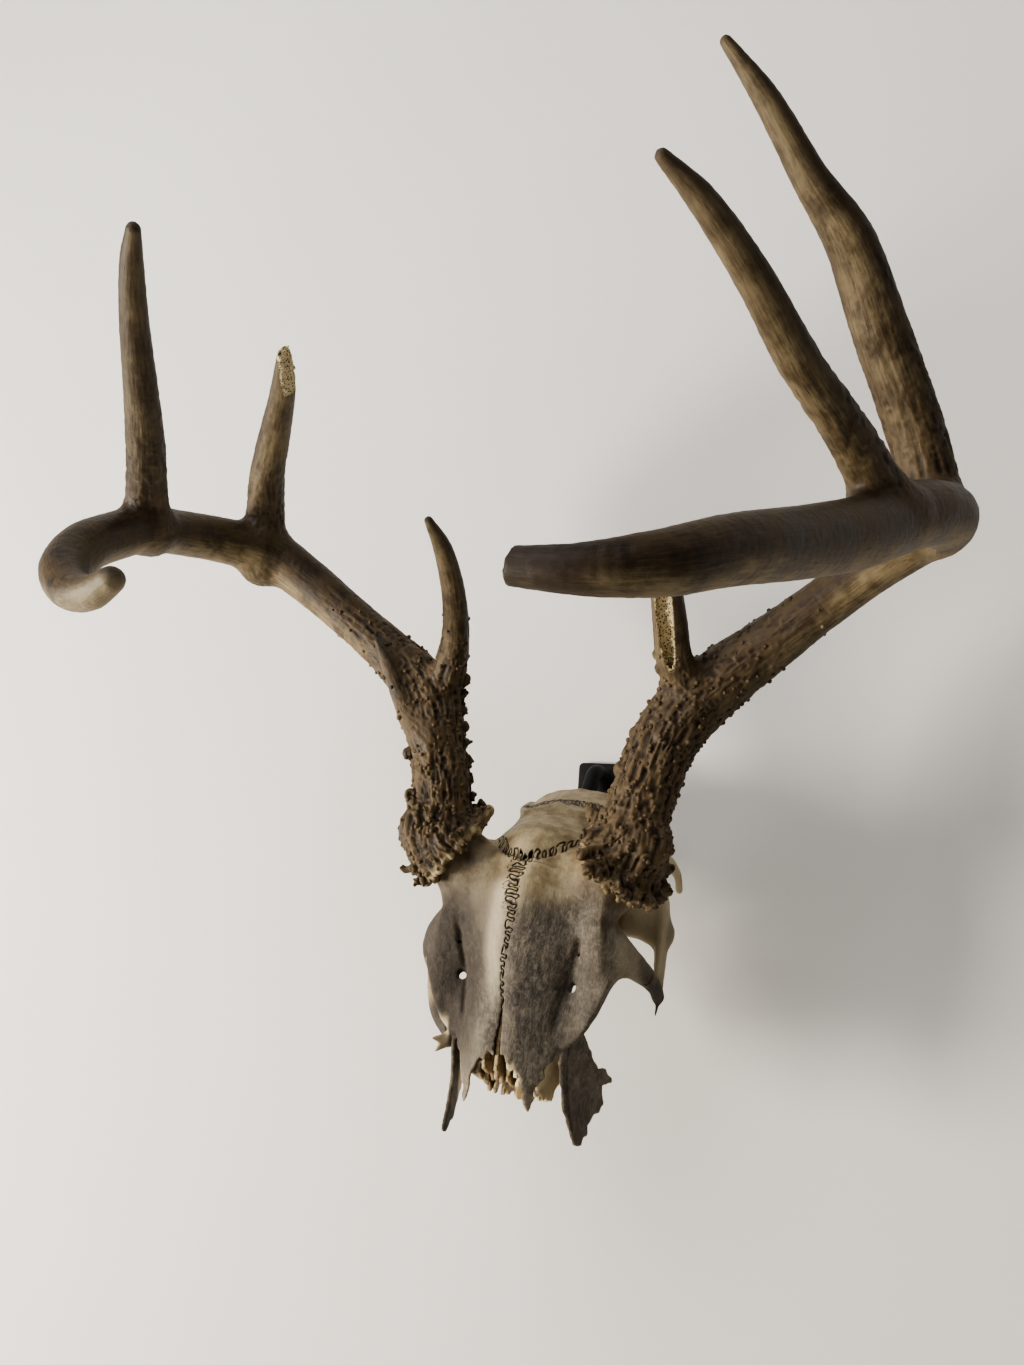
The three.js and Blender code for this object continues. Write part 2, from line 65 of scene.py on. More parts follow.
def to_wall(points):
    x, y, z = np.asarray(points, float).T
    c, s = math.cos(TURN), math.sin(TURN)
    return (np.column_stack([x, y * c - z * s, y * s + z * c]) + BREGMA) * MM


print("bregma in metres", to_wall([[0, 0, 0]])[0])

# %% [markdown]
# ## Smooth numbers
# Bone has no straight lines, so widths and heights run smoothly through a few measured pairs.
# Seeded noise, a lattice of random numbers read smoothly, breaks every edge and surface.

# %% Profiles, steps and noise
def smoothstep(value, low, high):
    t = np.clip((value - low) / (high - low), 0, 1)
    return t * t * (3 - 2 * t)


def profile(pairs):
    place, height = np.array(pairs, float).T
    last = len(place) - 1

    def read(at):
        at = np.clip(at, place[0], place[-1])
        i = np.clip(np.searchsorted(place, at, side="right") - 1, 0, last - 1)
        before, after = np.maximum(i - 1, 0), np.minimum(i + 2, last)
        span = place[i + 1] - place[i]
        start = (height[i + 1] - height[before]) / (place[i + 1] - place[before]) * span
        end = (height[after] - height[i]) / (place[after] - place[i]) * span
        t, rise = (at - place[i]) / span, height[i + 1] - height[i]
        curve = start * t + (3 * rise - 2 * start - end) * t**2 + (start + end - 2 * rise) * t**3
        return height[i] + curve

    return read


LATTICE = np.random.default_rng(11).random((64, 64, 64)).astype(np.float32)


def noise(x, y, z, size, seed=0):
    """Smooth noise from 0 to 1, with features about size across."""
    total = 0
    cells = [np.asarray(v, np.float32) / size + 13.7 * (seed + 1 + k) for k, v in enumerate((x, y, z))]
    whole = [np.floor(c).astype(int) for c in cells]
    part = [c - w for c, w in zip(cells, whole)]
    part = [p * p * (3 - 2 * p) for p in part]
    for corner in np.ndindex(2, 2, 2):
        weight = 1
        for p, k in zip(part, corner):
            weight = weight * (p if k else 1 - p)
        index = [(w + k) % 64 for w, k in zip(whole, corner)]
        total = total + weight * LATTICE[tuple(index)]
    return total


def smooth_path(stations, per=6):
    """Points along a smooth line through stations of x, y, z and radius."""
    knots = np.array(stations, float)
    ends = np.vstack([2 * knots[0] - knots[1], knots, 2 * knots[-1] - knots[-2]])
    gap = np.sqrt(np.linalg.norm(np.diff(ends[:, :3], axis=0), axis=1))[:, None]
    rows = []
    for i in range(1, len(ends) - 2):
        a, b, c, d = ends[i - 1:i + 3]
        ab, bc, cd = gap[i - 1:i + 2]
        start = ((b - a) / ab - (c - a) / (ab + bc) + (c - b) / bc) * bc
        end = ((c - b) / bc - (d - b) / (bc + cd) + (d - c) / cd) * bc
        t, rise = np.arange(per)[:, None] / per, c - b
        rows.append(b + start * t + (3 * rise - 2 * start - end) * t**2 + (start + end - 2 * rise) * t**3)
    return np.vstack([*rows, knots[-1:]])


print("noise from a lattice of", LATTICE.size, "values")

# %% [markdown]
# ## Bone as a field
# Bone flows: an arch grows out of a wall with no edge between them. Box modelling fights that, so
# the skull is built as a distance field, a block of numbers that say how far each point is from
# the surface. Bars, bulbs and plates melt together where they meet, hollows are taken out, and
# OpenVDB turns the zero level into a mesh of even quads.

# %% The field
def melt(a, b, soft):
    """The union of two fields, with a fillet about soft wide."""
    if soft <= 0:
        return np.minimum(a, b)
    h = np.clip(0.5 + 0.5 * (b - a) / soft, 0, 1)
    return b + (a - b) * h - soft * h * (1 - h)


FAR_OFF = 20                   # what a field says where nothing is near, in millimetres


class Field:
    """A block of numbers, a step apart, that say how far each point is from the surface."""

    def __init__(self, low, high, step):
        self.low, self.step = np.array(low, float), step
        self.axes = [np.arange(a, b, step, dtype=np.float32) for a, b in zip(low, high)]
        self.value = np.full([len(a) for a in self.axes], FAR_OFF, np.float32)

    def window(self, low, high, margin):
        cut = [
            slice(*np.searchsorted(axis, [a - margin, b + margin]))
            for axis, a, b in zip(self.axes, low, high)
        ]
        x, y, z = (axis[s] for axis, s in zip(self.axes, cut))
        return tuple(cut), (x[:, None, None], y[None, :, None], z[None, None, :])

    def add(self, solid, soft=3):
        shape, low, high = solid
        cut, xyz = self.window(low, high, soft + 4)
        self.value[cut] = melt(self.value[cut], shape(*xyz), soft)

    def cut(self, solid, soft=1):
        shape, low, high = solid
        cut, xyz = self.window(low, high, soft + 4)
        self.value[cut] = -melt(-self.value[cut], shape(*xyz), soft)

    def read(self, points):
        """The field's value at any points, read between its numbers."""
        place = (points - self.low) / self.step
        whole = np.clip(np.floor(place).astype(int), 0, np.array(self.value.shape) - 2)
        part = np.clip(place - whole, 0, 1)
        total = 0
        for corner in np.ndindex(2, 2, 2):
            weight = np.prod(np.where(corner, part, 1 - part), axis=1)
            total = total + weight * self.value[tuple((whole + corner).T)]
        return total


def bulb(centre, radii):
    """An ellipsoid, with the box it fills."""
    c, r = np.array(centre, float), np.array(radii, float)

    def shape(x, y, z):
        near = np.sqrt(((x - c[0]) / r[0])**2 + ((y - c[1]) / r[1])**2 + ((z - c[2]) / r[2])**2) + 1e-6
        steep = np.sqrt(((x - c[0]) / r[0]**2)**2 + ((y - c[1]) / r[1]**2)**2 + ((z - c[2]) / r[2]**2)**2)
        return near * (near - 1) / (steep + 1e-6)

    return shape, c - r, c + r


def rod(stations, thin=(1, 1, 1), per=5):
    """A round bar through stations. thin over 1 along an axis flattens it that way."""
    path = smooth_path(stations, per)
    k = np.array(thin, float)

    def shape(x, y, z):
        best = None
        for a, b in zip(path, path[1:]):
            way = (b[:3] - a[:3]) * k
            px, py, pz = (x - a[0]) * k[0], (y - a[1]) * k[1], (z - a[2]) * k[2]
            t = np.clip((px * way[0] + py * way[1] + pz * way[2]) / (way @ way + 1e-9), 0, 1)
            away = np.sqrt((px - t * way[0])**2 + (py - t * way[1])**2 + (pz - t * way[2])**2)
            away = away - (a[3] + t * (b[3] - a[3]))
            best = away if best is None else np.minimum(best, away)
        return best / max(1, k.max() * 0.75)

    return shape, (path[:, :3] - path[:, 3:]).min(0), (path[:, :3] + path[:, 3:]).max(0)


def outline_distance(outline, u, v):
    """Signed distance in a plane from a closed outline, below zero inside it."""
    best, inside = None, np.zeros(np.broadcast(u, v).shape, bool)
    for (au, av), (bu, bv) in zip(outline, outline[1:] + outline[:1]):
        du, dv = bu - au, bv - av
        t = np.clip(((u - au) * du + (v - av) * dv) / (du * du + dv * dv), 0, 1)
        away = np.hypot(u - au - t * du, v - av - t * dv)
        best = away if best is None else np.minimum(best, away)
        crosses = (av > v) != (bv > v)
        inside ^= crosses & (u < (bu - au) * (v - av) / (dv if dv else 1e-9) + au)
    return np.where(inside, -best, best)


def mirrored(stations, side):
    """Stations of the left side, moved to the right side where side is -1."""
    return [(side * s[0], *s[1:]) for s in stations]


STEP = 0.7
skull = Field((-69, -136, -97), (69, 77, 25), STEP)
print("field of", skull.value.size, "numbers,", STEP, "mm apart")

# %% [markdown]
# ## Braincase and base
# The braincase is an egg along the middle of the head, cut nearly flat behind, where the neck
# joined. In front of it runs a narrow core of bone between the eye sockets. The foramen
# magnum, for the spinal cord, is left open: the bracket's hook goes in there.

# %% Braincase, base and occiput
brain_width = profile([(-30, 20), (-15, 28), (0, 32), (25, 32), (45, 33), (66, 31), (90, 28)])
brain_top = profile([(-30, 6), (-12, 13), (5, 9), (20, -3), (35, -14), (50, -25), (66, -37), (90, -44)])
brain_bottom = profile([(-30, -60), (0, -66), (30, -70), (66, -70), (90, -66)])
core_width = profile([(-112, 12), (-92, 15), (-70, 15.5), (-45, 15), (10, 16)])
core_top = profile([(-112, -36), (-90, -21), (-70, -12), (-40, -2), (10, 0)])
core_bottom = profile([(-112, -54), (-80, -64), (-50, -66), (-20, -62), (10, -64)])
OCCIPUT = 65
NOSE = -77                     # y where the inside of the nose begins to show
CORE_CORNER = 5                # radius of the long edges of the core between the eye sockets


def braincase(x, y, z):
    swell = np.sin(math.pi * np.clip((120 - y) / 200, 0.01, 0.99))**0.4
    w = brain_width(y) * swell
    middle = (brain_top(y) + brain_bottom(y)) / 2
    h = (brain_top(y) - brain_bottom(y)) / 2 * swell
    near = np.sqrt((x / w)**2 + ((z - middle) / h)**2) + 1e-6
    steep = np.sqrt((x / w**2)**2 + ((z - middle) / h**2)**2) + 1e-6
    back = y - OCCIPUT + 0.12 * (z + 50) + 0.004 * x**2
    return -melt(-near * (near - 1) / steep, -back, 3)


def core(x, y, z):
    middle, half = (core_top(y) + core_bottom(y)) / 2, (core_top(y) - core_bottom(y)) / 2
    across = np.maximum(np.abs(x) - core_width(y) + CORE_CORNER, 0)
    tall = np.maximum(np.abs(z - middle) - half + CORE_CORNER, 0)
    return np.maximum(np.sqrt(across**2 + tall**2) - CORE_CORNER, np.maximum(NOSE - y, y - 8))


# Bars of the left side: the stations, how flat, and how softly they melt in. They are the crest of
# the nape, the line round the temple and the wing of bone beside the throat.
BACK_BARS = [
    ([(0, 63, -41, 3), (14, 62.5, -42, 3), (27, 60, -49, 3), (34, 55, -60, 3)], (1, 1, 1), 4),     # crest
    ([(0, 34, -12, 1.4), (16, 30, -13, 1.6), (27, 42, -28, 1.6), (30, 55, -42, 2)], (1, 1, 1), 5),  # line
    ([(9, -4, -56, 6), (11, -14, -72, 3.5), (12, -24, -83, 2)], (1.8, 1, 1), 3),                   # wing
]


def add_bars(bars, side):
    for stations, thin, soft in bars:
        skull.add(rod(mirrored(stations, side), thin), soft)


skull.add((braincase, (-38, -60, -76), (38, 70, 16)))
skull.add((core, (-18, -78, -70), (18, 10, 4)), 5)
skull.add(rod([(0, 62, -68, 8), (0, 30, -70, 8.5), (0, -12, -62, 8)]), 5)
for side in (1, -1):
    skull.cut(bulb((side * 52, -14, -46), (21, 24, 24)), 3)
    skull.cut(bulb((side * 50, -63, -43), (33, 22, 25)), 3)
    skull.add(bulb((side * 13.5, 67, -63), (8.5, 9, 11)), 3)
    add_bars(BACK_BARS, side)
skull.cut(rod([(0, 84, -51, 9), (0, 46, -51, 8.5)]), 1.5)
skull.cut(bulb((0, 74, -44), (16, 6, 8)), 3)
print("braincase", round(float(brain_width(25.0)) * 2), "mm wide")

# %% [markdown]
# ## Ear, cheek arch and eye socket
# Behind the eye the cheek arch is a thin blade, and the bar behind the eye socket comes down to
# meet it. The left cheek bone is gone, so the left bar and arch end in a broken point. Flattened
# bars give blades, and the note after each says which part of the skull it is.

# %% Ear region, arches, bars and the right cheek bone
ARCH_BARS = [
    ([(28, 52, -60, 7), (31, 55, -76, 4.5), (29, 52, -92, 1.8)], (1.5, 1, 1), 4),            # spur
    ([(32, 24, -46, 9), (44, 17, -50, 9), (54, 8, -53, 8), (58, -8, -54, 7.2), (59.8, -27, -55, 6),
      (61.5, -47, -55.5, 4.4)], (2, 1.2, 1), 4),                                            # cheek arch
    ([(32, 10, -48, 9), (41, 2, -50, 9), (50, -4, -52, 8), (58, -12, -54, 6)], (1, 1, 1.9), 4),     # shelf
    ([(32, -4, -49, 10), (41, -9.5, -50, 9.5), (49, -11, -52, 8.5), (58, -16, -54, 6.5)], (1, 1, 1.9), 4),
    ([(44, 27, -50, 6), (54, 29, -51, 4.5), (60, 25, -58, 3), (60.5, 21, -66, 2.8)], (1.5, 1, 1), 3),  # root
    ([(36, -38, -8, 9), (45, -43, -15, 9.5), (52, -46, -24, 8), (57, -46.5, -33, 6.2), (61, -47, -43, 4.8),
      (63, -49, -54, 3.2)], (1.3, 1, 1.9), 4),                              # bar behind the eye
]
for side in (1, -1):
    skull.add(bulb((side * 25, 26, -67), (8.5, 12, 11)), 4)                                  # bulla
    skull.add(rod(mirrored([(30, 38, -56, 7), (42, 38, -58, 5), (48, 37, -60, 4)], side)), 4)     # ear tube
    skull.cut(rod(mirrored([(44, 37.5, -59, 2), (54, 37, -61, 2.4)], side)), 1)              # ear hole
    add_bars(ARCH_BARS, side)
SPLINTER = [(63, -48, -53, 2.6), (62.5, -53, -55.5, 1.2), (62, -57, -57, 0.7)]
RIGHT_CHEEK = [
    (-63, -46, -55, 4), (-61, -57, -59, 5), (-54, -69, -60, 6.5), (-44, -78, -57, 7), (-35, -85, -53, 6),
]
FLAKE_FOOT = [(-28, -86, -38, 4.5), (-33, -92, -36.5, 3.6)]
FLAKE_TIPS = [(-37.4, -96.6, -27.6, 0.7), (-36.4, -100.6, -32.6, 0.8), (-35.5, -92, -38, 1.6)]
skull.add(rod(SPLINTER, (1.5, 1, 1)), 1)
skull.add(rod(RIGHT_CHEEK, (1.2, 1.2, 1)), 3)
for tip in FLAKE_TIPS:
    skull.add(rod([*FLAKE_FOOT, tip], (1.6, 1, 1)), 1.5)
print("cheek arches 126 mm across")

# %% [markdown]
# ## Forehead
# Seen from above, the frontal bones are one sheet: a height for every x and y, a thickness, and
# an outline with the brow rims and the broken front edge. A groove runs forward on each side,
# from the brow to the nose, past the hole that lets a nerve through.

# %% The frontal sheet
ridge_height = profile([
    (-128, -34), (-110, -23), (-96, -16), (-82, -10), (-70, -5), (-60, 0.5), (-47, 7), (-30, 12),
    (-12, 13), (5, 11), (20, 5),
])
fall_across = profile([
    (0, 0), (6, 0.7), (14, 5), (21, 9.6), (27, 13.6), (33, 14.4), (40, 13.2), (48, 14), (53, 17.5), (58, 24),
    (64, 32),
])
FRONTAL_OUTLINE = [
    (0, -16), (10, -13), (26, -3), (38, 3), (47, 2), (51, -8), (49, -20), (45, -30), (42.5, -38), (44, -44),
    (49, -49), (51.7, -54.6), (49.8, -60), (46.5, -68), (43.5, -75), (39.6, -82), (36, -87), (31, -91),
    (27, -92), (25.5, -97), (22.5, -100), (21.5, -106), (18.6, -113), (16.5, -123.5), (13.5, -117),
    (12, -110),
    (9.5, -107.5), (8, -104.5), (5.5, -105), (3.4, -102.5), (1.2, -103.2), (0, -102),
]
BROW_RIM = max(x for x, _ in FRONTAL_OUTLINE)
GROOVE = [(33.5, -42), (30.5, -52), (27, -62), (25.5, -70), (24, -80), (23, -88)]
NERVE_HOLE = (27.3, -66.3)


def forehead_height(x, y):
    side = np.abs(x)
    fullness = 0.75 + 0.25 * smoothstep(-y, 20, 60)
    brow = 7 * smoothstep(side, 42, 52) * smoothstep(y, -66, -52)
    height = ridge_height(y) - fall_across(side) * fullness - brow
    groove = np.abs(outline_distance(GROOVE + GROOVE[-2:0:-1], side, y))
    fade = smoothstep(-y, 38, 48) * (1 - smoothstep(-y, 80, 92))
    height = height - 2.6 * np.exp(-(groove / 1.7)**2) * fade
    pit = np.hypot(side - NERVE_HOLE[0] - 0.8, (y - NERVE_HOLE[1]) / 1.7)
    height = height - 3.2 * np.exp(-(pit / 4.2)**2)
    trough = smoothstep(-y, 58, 95) * np.exp(-(x / 7)**2)
    return height - 1.4 * trough + 0.8 * (noise(x, y, 0 * x, 9, 3) - 0.5)


def frontal_sheet(x, y, z):
    flat_x, flat_y = x[:, :, 0] + 0 * y[:, :, 0], 0 * x[:, :, 0] + y[:, :, 0]
    height = forehead_height(flat_x, flat_y)
    gx, gy = np.gradient(height, STEP)
    steep = np.sqrt(1 + gx**2 + gy**2)
    thick = 2.2 + 3.6 * smoothstep(flat_y, -108, -60)
    ragged = 2.4 * (noise(flat_x, flat_y, 0 * flat_x, 3.2, 5) - 0.5) * smoothstep(-flat_y, 86, 97)
    edge = outline_distance(FRONTAL_OUTLINE, np.abs(flat_x), flat_y) + ragged
    top = (z - height[:, :, None]) / steep[:, :, None]
    bottom = (height[:, :, None] - thick[:, :, None] - z) / steep[:, :, None]
    skin = -melt(-top, -bottom, 1)
    return -melt(-skin, -(edge[:, :, None] + 0 * z), 1.6)


BURR_FOOT = np.array([46.0, -8, 2])
BURR_LEAN = np.array([0.7, 0.34, 0.63]) / np.linalg.norm([0.7, 0.34, 0.63])
skull.add((frontal_sheet, (-62, -127, -48), (62, 12, 22)), 3)
COLLAR = [(*(BURR_FOOT + BURR_LEAN * up), radius) for up, radius in ((-24, 20), (-11, 16.5), (-1, 15.5))]
for side in (1, -1):
    skull.add(rod(mirrored(COLLAR, side)), 9)
    skull.cut(rod(mirrored([(*NERVE_HOLE, 0, 1.9), (31, -64, -40, 2.2)], side)), 1)
    skull.cut(rod(mirrored([(31.5, -52.5, -4, 0.8), (32, -52, -14, 0.8)], side)), 0.8)
print("forehead", BROW_RIM * 2, "mm across the brow rims")

# %% [markdown]
# ## Broken face
# On each side hangs the plate of the lacrimal bone and upper jaw, broken off in steps. Inside the
# nose the turbinates, scrolls of bone as thin as paper, have snapped off short. On the right
# part of the palate is left, with its cheek teeth.

# %% Face plates, turbinates, palate and teeth
FACE_OUTLINE = [
    (-84, -30), (-98, -31), (-103, -35), (-109, -40), (-115, -43), (-126, -55), (-124, -61), (-119, -62.5),
    (-116, -67), (-113, -65), (-106, -70), (-103, -74), (-98, -76), (-95, -72), (-91, -69), (-89, -73),
    (-86, -78), (-84.5, -74), (-83, -68), (-86, -62), (-85, -56), (-80, -47), (-76, -38), (-78, -31),
]
PALATE_OUTLINE = [
    (-34, -40), (-34, -92), (-22, -98), (-14, -93), (-8, -94), (4, -88), (9, -74), (5, -60), (10, -46),
    (4, -36), (-16, -34),
]
SCROLLS = (-12, -8, -4.2, 0, 4.4, 8.6, 12.6, 16.6, 20.8)      # x of each turbinate; 0 is the septum
NOSE_BOX = (-17, -120, -62), (26, -69, -12)


def face_plate(side):
    """A ragged plate about 2 mm thick. The right one reaches lower and bends in more."""
    longer, bent_in = (4.5, 5.0) if side < 0 else (0, 0)

    def shape(x, y, z):
        ragged = 1.8 * (noise(0 * y, y, z, 3.0, 9 + side) - 0.5)
        low = y + longer * smoothstep(-y, 104, 128)
        edge = outline_distance(FACE_OUTLINE, low + 0 * z, z + 0 * y) + ragged
        bend = 27 + 0.25 * (-25 - z) + 1.2 * np.sin((y + 90) / 9) - bent_in * smoothstep(-y, 92, 126)
        away = np.abs(x * side - bend) - 1.05
        return -melt(-away, -edge, 0.8)

    return shape, (24 * side - 10 * (side < 0) - 2, -134, -80), (24 * side + 20 * (side > 0) + 2, -72, -26)


def turbinates(x, y, z):
    sheets = None
    for k, place in enumerate(SCROLLS):
        curl = 1.9 * np.sin(z / 4.6 + 1.7 * k) + 1.6 * np.sin(y / 6 + 2.1 * k)
        thick = 0.85 + 0.25 * (k % 2)
        sheet = np.abs(x - place - curl * (place != 0)) - thick
        short = 106 - 1.2 * abs(k - 3) * (k < 6) + 8 * noise(0 * y + 3 * k, 0.4 * y, z, 2.6, 20 + k)
        sheet = np.maximum(sheet, -y - short)
        sheets = sheet if sheets is None else np.minimum(sheets, sheet)
    roof = z - (ridge_height(y) - fall_across(np.abs(x)) - 3.5)
    floor = -58 + 8 * noise(x, y, 0 * x, 6, 31) - z
    walls = np.maximum(-15.5 - x, x - 24)
    body = np.maximum(np.maximum(roof, floor), np.maximum(walls, y - NOSE - 6))
    return np.maximum(sheets, body)


def palate(x, y, z):
    edge = outline_distance(PALATE_OUTLINE, x + 0 * y, y + 0 * x) + 2 * (noise(x, y, 0 * x, 4, 40) - 0.5)
    return -melt(-(np.abs(z + 70 - 0.02 * (x + 12)**2 + 1.5) - 1.4), -edge, 0.8)


for side in (1, -1):
    skull.add(face_plate(side), 1.5)
skull.add(rod([(-25, -44, -64, 6), (-28, -60, -62, 9), (-29, -80, -60, 9), (-28, -95, -58, 5)], (1.3, 1, 1)), 3)
skull.add((palate, (-36, -100, -76), (12, -32, -60)), 2)
TOOTH_PITCH = 7.0
for lobe in range(6):
    y = -55.5 - lobe * TOOTH_PITCH
    for x, crown in ((-31.5, -84), (-25, -83)):
        skull.add(rod([(x, y, -64, 3.6), (x, y, -74, 3.7), (x + 0.4, y, crown, 2.6)]), 0.8)
    skull.cut(rod([(-28.2, y - 1.8, -87, 1.1), (-28.2, y + 1.8, -87, 1.1)], (1, 1, 0.35)), 0.8)
nose = Field(*NOSE_BOX, STEP * 0.85)
nose.add((turbinates, *NOSE_BOX), 0)
print("two plates,", len(SCROLLS) - 1, "scrolls, a septum and three cheek teeth of two lobes each")

# %% [markdown]
# ## Bones cut from one field
# A skull is many bones locked along sutures. Each one is the whole field inside its own region,
# so neighbours meet exactly. The open crack at the front of the midline is a real gap.

# %% Regions and meshes
CORONAL = ((0, -15), (10, -11), (17.5, -2.5), (26, 11), (40, 24), (60, 26))       # |x| and y of the line
LAMBDOID = 44                  # y of the seam in front of the occipital bone
SQUAMOSAL = -30                # z of the parietal bone's lower edge
FRONTAL_FLOOR = -36            # z of the frontal bones' lower edge
BASE_HALF_WIDTH = 17
JAW_END = -42.5                # y where the upper jaw and the temporal bone part
CHEEK_ROOT = -43               # x where the right cheek bone begins
CHEEK_END = -52.5              # y where it ends on the cheek arch


def coronal(x, y):
    """How far a point lies behind the middle line of the coronal suture."""
    line = np.interp(np.abs(x), *np.array(CORONAL, float).T)
    return (y - line) * 0.72


# How far the loops of a suture reach to each side, how closely they follow each other, how much
# they lean, and how much wider their heads are than their necks.
REACH, PITCH, LEAN, NECK = 2.2, 1.55, 0.35, 0.75


def interlock(across, along):
    """Zero on the line where two bones lock together, in the suture's own coordinates."""
    lean = LEAN * np.sin(1.3 * across + 0.9 * np.sin(along / 2.7))
    phase = PITCH * (along + lean) + 1.0 * np.sin(along / 1.9) + 0.6 * np.sin(along * 1.1)
    reach = REACH + 0.6 * np.sin(along / 2.3)
    t = np.clip(across / reach, -1.6, 1.6)
    return reach * ((1 + NECK) * t**5 - NECK * t - np.sin(phase)) + (across - t * reach)


def midline(x, y):
    wide = np.interp(y, [-92, -70, -55, -40, -15], [6.0, 2.6, 1.5, 0.8, 0.68])
    return (x + 0.9 * np.sin(y / 6) + 0.6) * wide, 1.1 * y + 0 * x


def inside_all(*regions):
    """The part that several regions share."""
    shared = regions[0]
    for region in regions[1:]:
        shared = np.maximum(shared, region)
    return shared


def coronal_seam(x, y):
    return 0.5 * interlock(coronal(x, y) * 0.9, 1.3 * np.abs(x) + 200)


def frontal_region(x, y, z):
    far = np.abs(x)
    brow = np.minimum(forehead_height(x, y) - 6.4 + 0 * z, FRONTAL_FLOOR + 8)
    low = np.where((y < NOSE) & (far < 24), -50, np.where(far > BASE_HALF_WIDTH, brow, FRONTAL_FLOOR))
    floor = np.where(y < NOSE + 3, low, FRONTAL_FLOOR) - z
    return np.maximum(coronal_seam(x, y), floor)


def left_half(x, y):
    return 0.5 * interlock(*midline(x, y)) / np.interp(y, [-92, -70, -50], [3.0, 1.4, 1])


def crack(x, y, z):
    wander = 0.9 + 0.35 * np.sin(y / 4.3)
    return np.abs(x - wander) - 0.62 * smoothstep(-y, 78, 92) + 0 * z


def parietal_region(x, y, z):
    return inside_all(-coronal_seam(x, y), behind(x, y), SQUAMOSAL - z)


def behind(x, y):
    return 0.5 * interlock((y - LAMBDOID) * 0.8, 1.15 * x + 400)


def lower_region(x, y, z):
    upper = np.minimum(frontal_region(x, y, z), parietal_region(x, y, z))
    return np.maximum(-upper, behind(x, y))


def arm_region(side, x, y, z):
    far = x * side
    return np.minimum(JAW_END - y, np.maximum(48 - far, (CHEEK_END if side < 0 else -80) - y))


def palate_region(x, y, z):
    return np.maximum(np.maximum(z + 66, y + 33), x - 12)


def cheek_region(x, y, z):
    return np.maximum(x - CHEEK_ROOT, y - CHEEK_END)


def middle_region(x, y, z):
    return inside_all(np.abs(x) - BASE_HALF_WIDTH, lower_region(x, y, z), -palate_region(x, y, z))


def side_region(side, x, y, z):
    return np.maximum(lower_region(x, y, z), BASE_HALF_WIDTH - side * x)


def right_jaw_region(x, y, z):
    jaw = inside_all(side_region(-1, x, y, z), -arm_region(-1, x, y, z), -cheek_region(x, y, z))
    return np.minimum(jaw, np.maximum(lower_region(x, y, z), palate_region(x, y, z)))


REGIONS = {
    "frontal_left": lambda x, y, z: np.maximum(frontal_region(x, y, z), -left_half(x, y)),
    "frontal_right": lambda x, y, z: np.maximum(frontal_region(x, y, z), left_half(x, y)),
    "parietal": parietal_region,
    "occipital": lambda x, y, z: 0 * z - behind(x, y),
    "skull_base": middle_region,
    "temporal_left": lambda *xyz: np.maximum(side_region(1, *xyz), arm_region(1, *xyz)),
    "temporal_right": lambda *xyz: inside_all(
        side_region(-1, *xyz), arm_region(-1, *xyz), -palate_region(*xyz)),
    "upper_jaw_left": lambda *xyz: np.maximum(side_region(1, *xyz), -arm_region(1, *xyz)),
    "upper_jaw_right": right_jaw_region,
    "cheek_bone_right": lambda *xyz: inside_all(lower_region(*xyz), cheek_region(*xyz), -palate_region(*xyz)),
}
skull.cut((crack, (-3, -126, -48), (4, -70, 20)), 0.3)


CRUMB = 0.02                   # a loose piece with a smaller share of the faces than this is left out


def surface(value, low, step):
    """Points and quads of a field's zero level, without loose crumbs, facing out."""
    grid = vdb.FloatGrid(float(FAR_OFF))
    grid.copyFromArray(np.ascontiguousarray(value, np.float32))
    points, quads = grid.convertToQuads(isovalue=0.0)
    points, quads = points * step + low, quads.astype(np.int64)
    label = np.arange(len(points))
    links = np.concatenate([quads[:, [0, 1]], quads[:, [1, 2]], quads[:, [2, 3]]])
    while True:
        least = np.minimum(label[links[:, 0]], label[links[:, 1]])
        new = label.copy()
        np.minimum.at(new, links[:, 0], least)
        np.minimum.at(new, links[:, 1], least)
        new = new[new]
        if (new == label).all():
            break
        label = new
    size = np.bincount(label[quads[:, 0]], minlength=len(points))
    quads = quads[size[label[quads[:, 0]]] > CRUMB * len(quads)]
    used = np.unique(quads)
    index = np.full(len(points), -1)
    index[used] = np.arange(len(used))
    points, quads = points[used], index[quads]
    a, b, c = (points[quads[:, k]] for k in range(3))
    if (np.cross(a, b) * c).sum() < 0:
        quads = quads[:, ::-1]
    return points, quads


def vertex_normals(points, quads):
    a, b, c, d = (points[quads[:, k]] for k in range(4))
    face = np.cross(c - a, d - b)
    total = np.zeros_like(points)
    for k in range(4):
        for axis in range(3):
            total[:, axis] += np.bincount(quads[:, k], face[:, axis], len(points))
    return total / (np.linalg.norm(total, axis=1)[:, None] + 1e-9)


def make_piece(name, points, quads, values, flat=None):
    """A smooth-shaded mesh object at the origin, with one number per point for each value."""
    mesh = bpy.data.meshes.new(name)
    mesh.vertices.add(len(points))
    mesh.vertices.foreach_set("co", to_wall(points).astype(np.float32).ravel())
    mesh.loops.add(quads.size)
    mesh.loops.foreach_set("vertex_index", quads.astype(np.int32).ravel())
    mesh.polygons.add(len(quads))
    mesh.polygons.foreach_set("loop_start", np.arange(0, quads.size, 4, dtype=np.int32))
    mesh.update(calc_edges=True)
    mesh.polygons.foreach_set("use_smooth", np.ones(len(quads), bool) if flat is None else ~flat)
    for key, value in values.items():
        kind, field_name = ("FLOAT", "value") if value.ndim == 1 else ("FLOAT_VECTOR", "vector")
        mesh.attributes.new(key, kind, "POINT").data.foreach_set(field_name, value.astype(np.float32).ravel())
    piece = bpy.data.objects.new(name, mesh)
    bpy.context.scene.collection.objects.link(piece)
    return piece


print(len(REGIONS), "bones:", ", ".join(REGIONS))

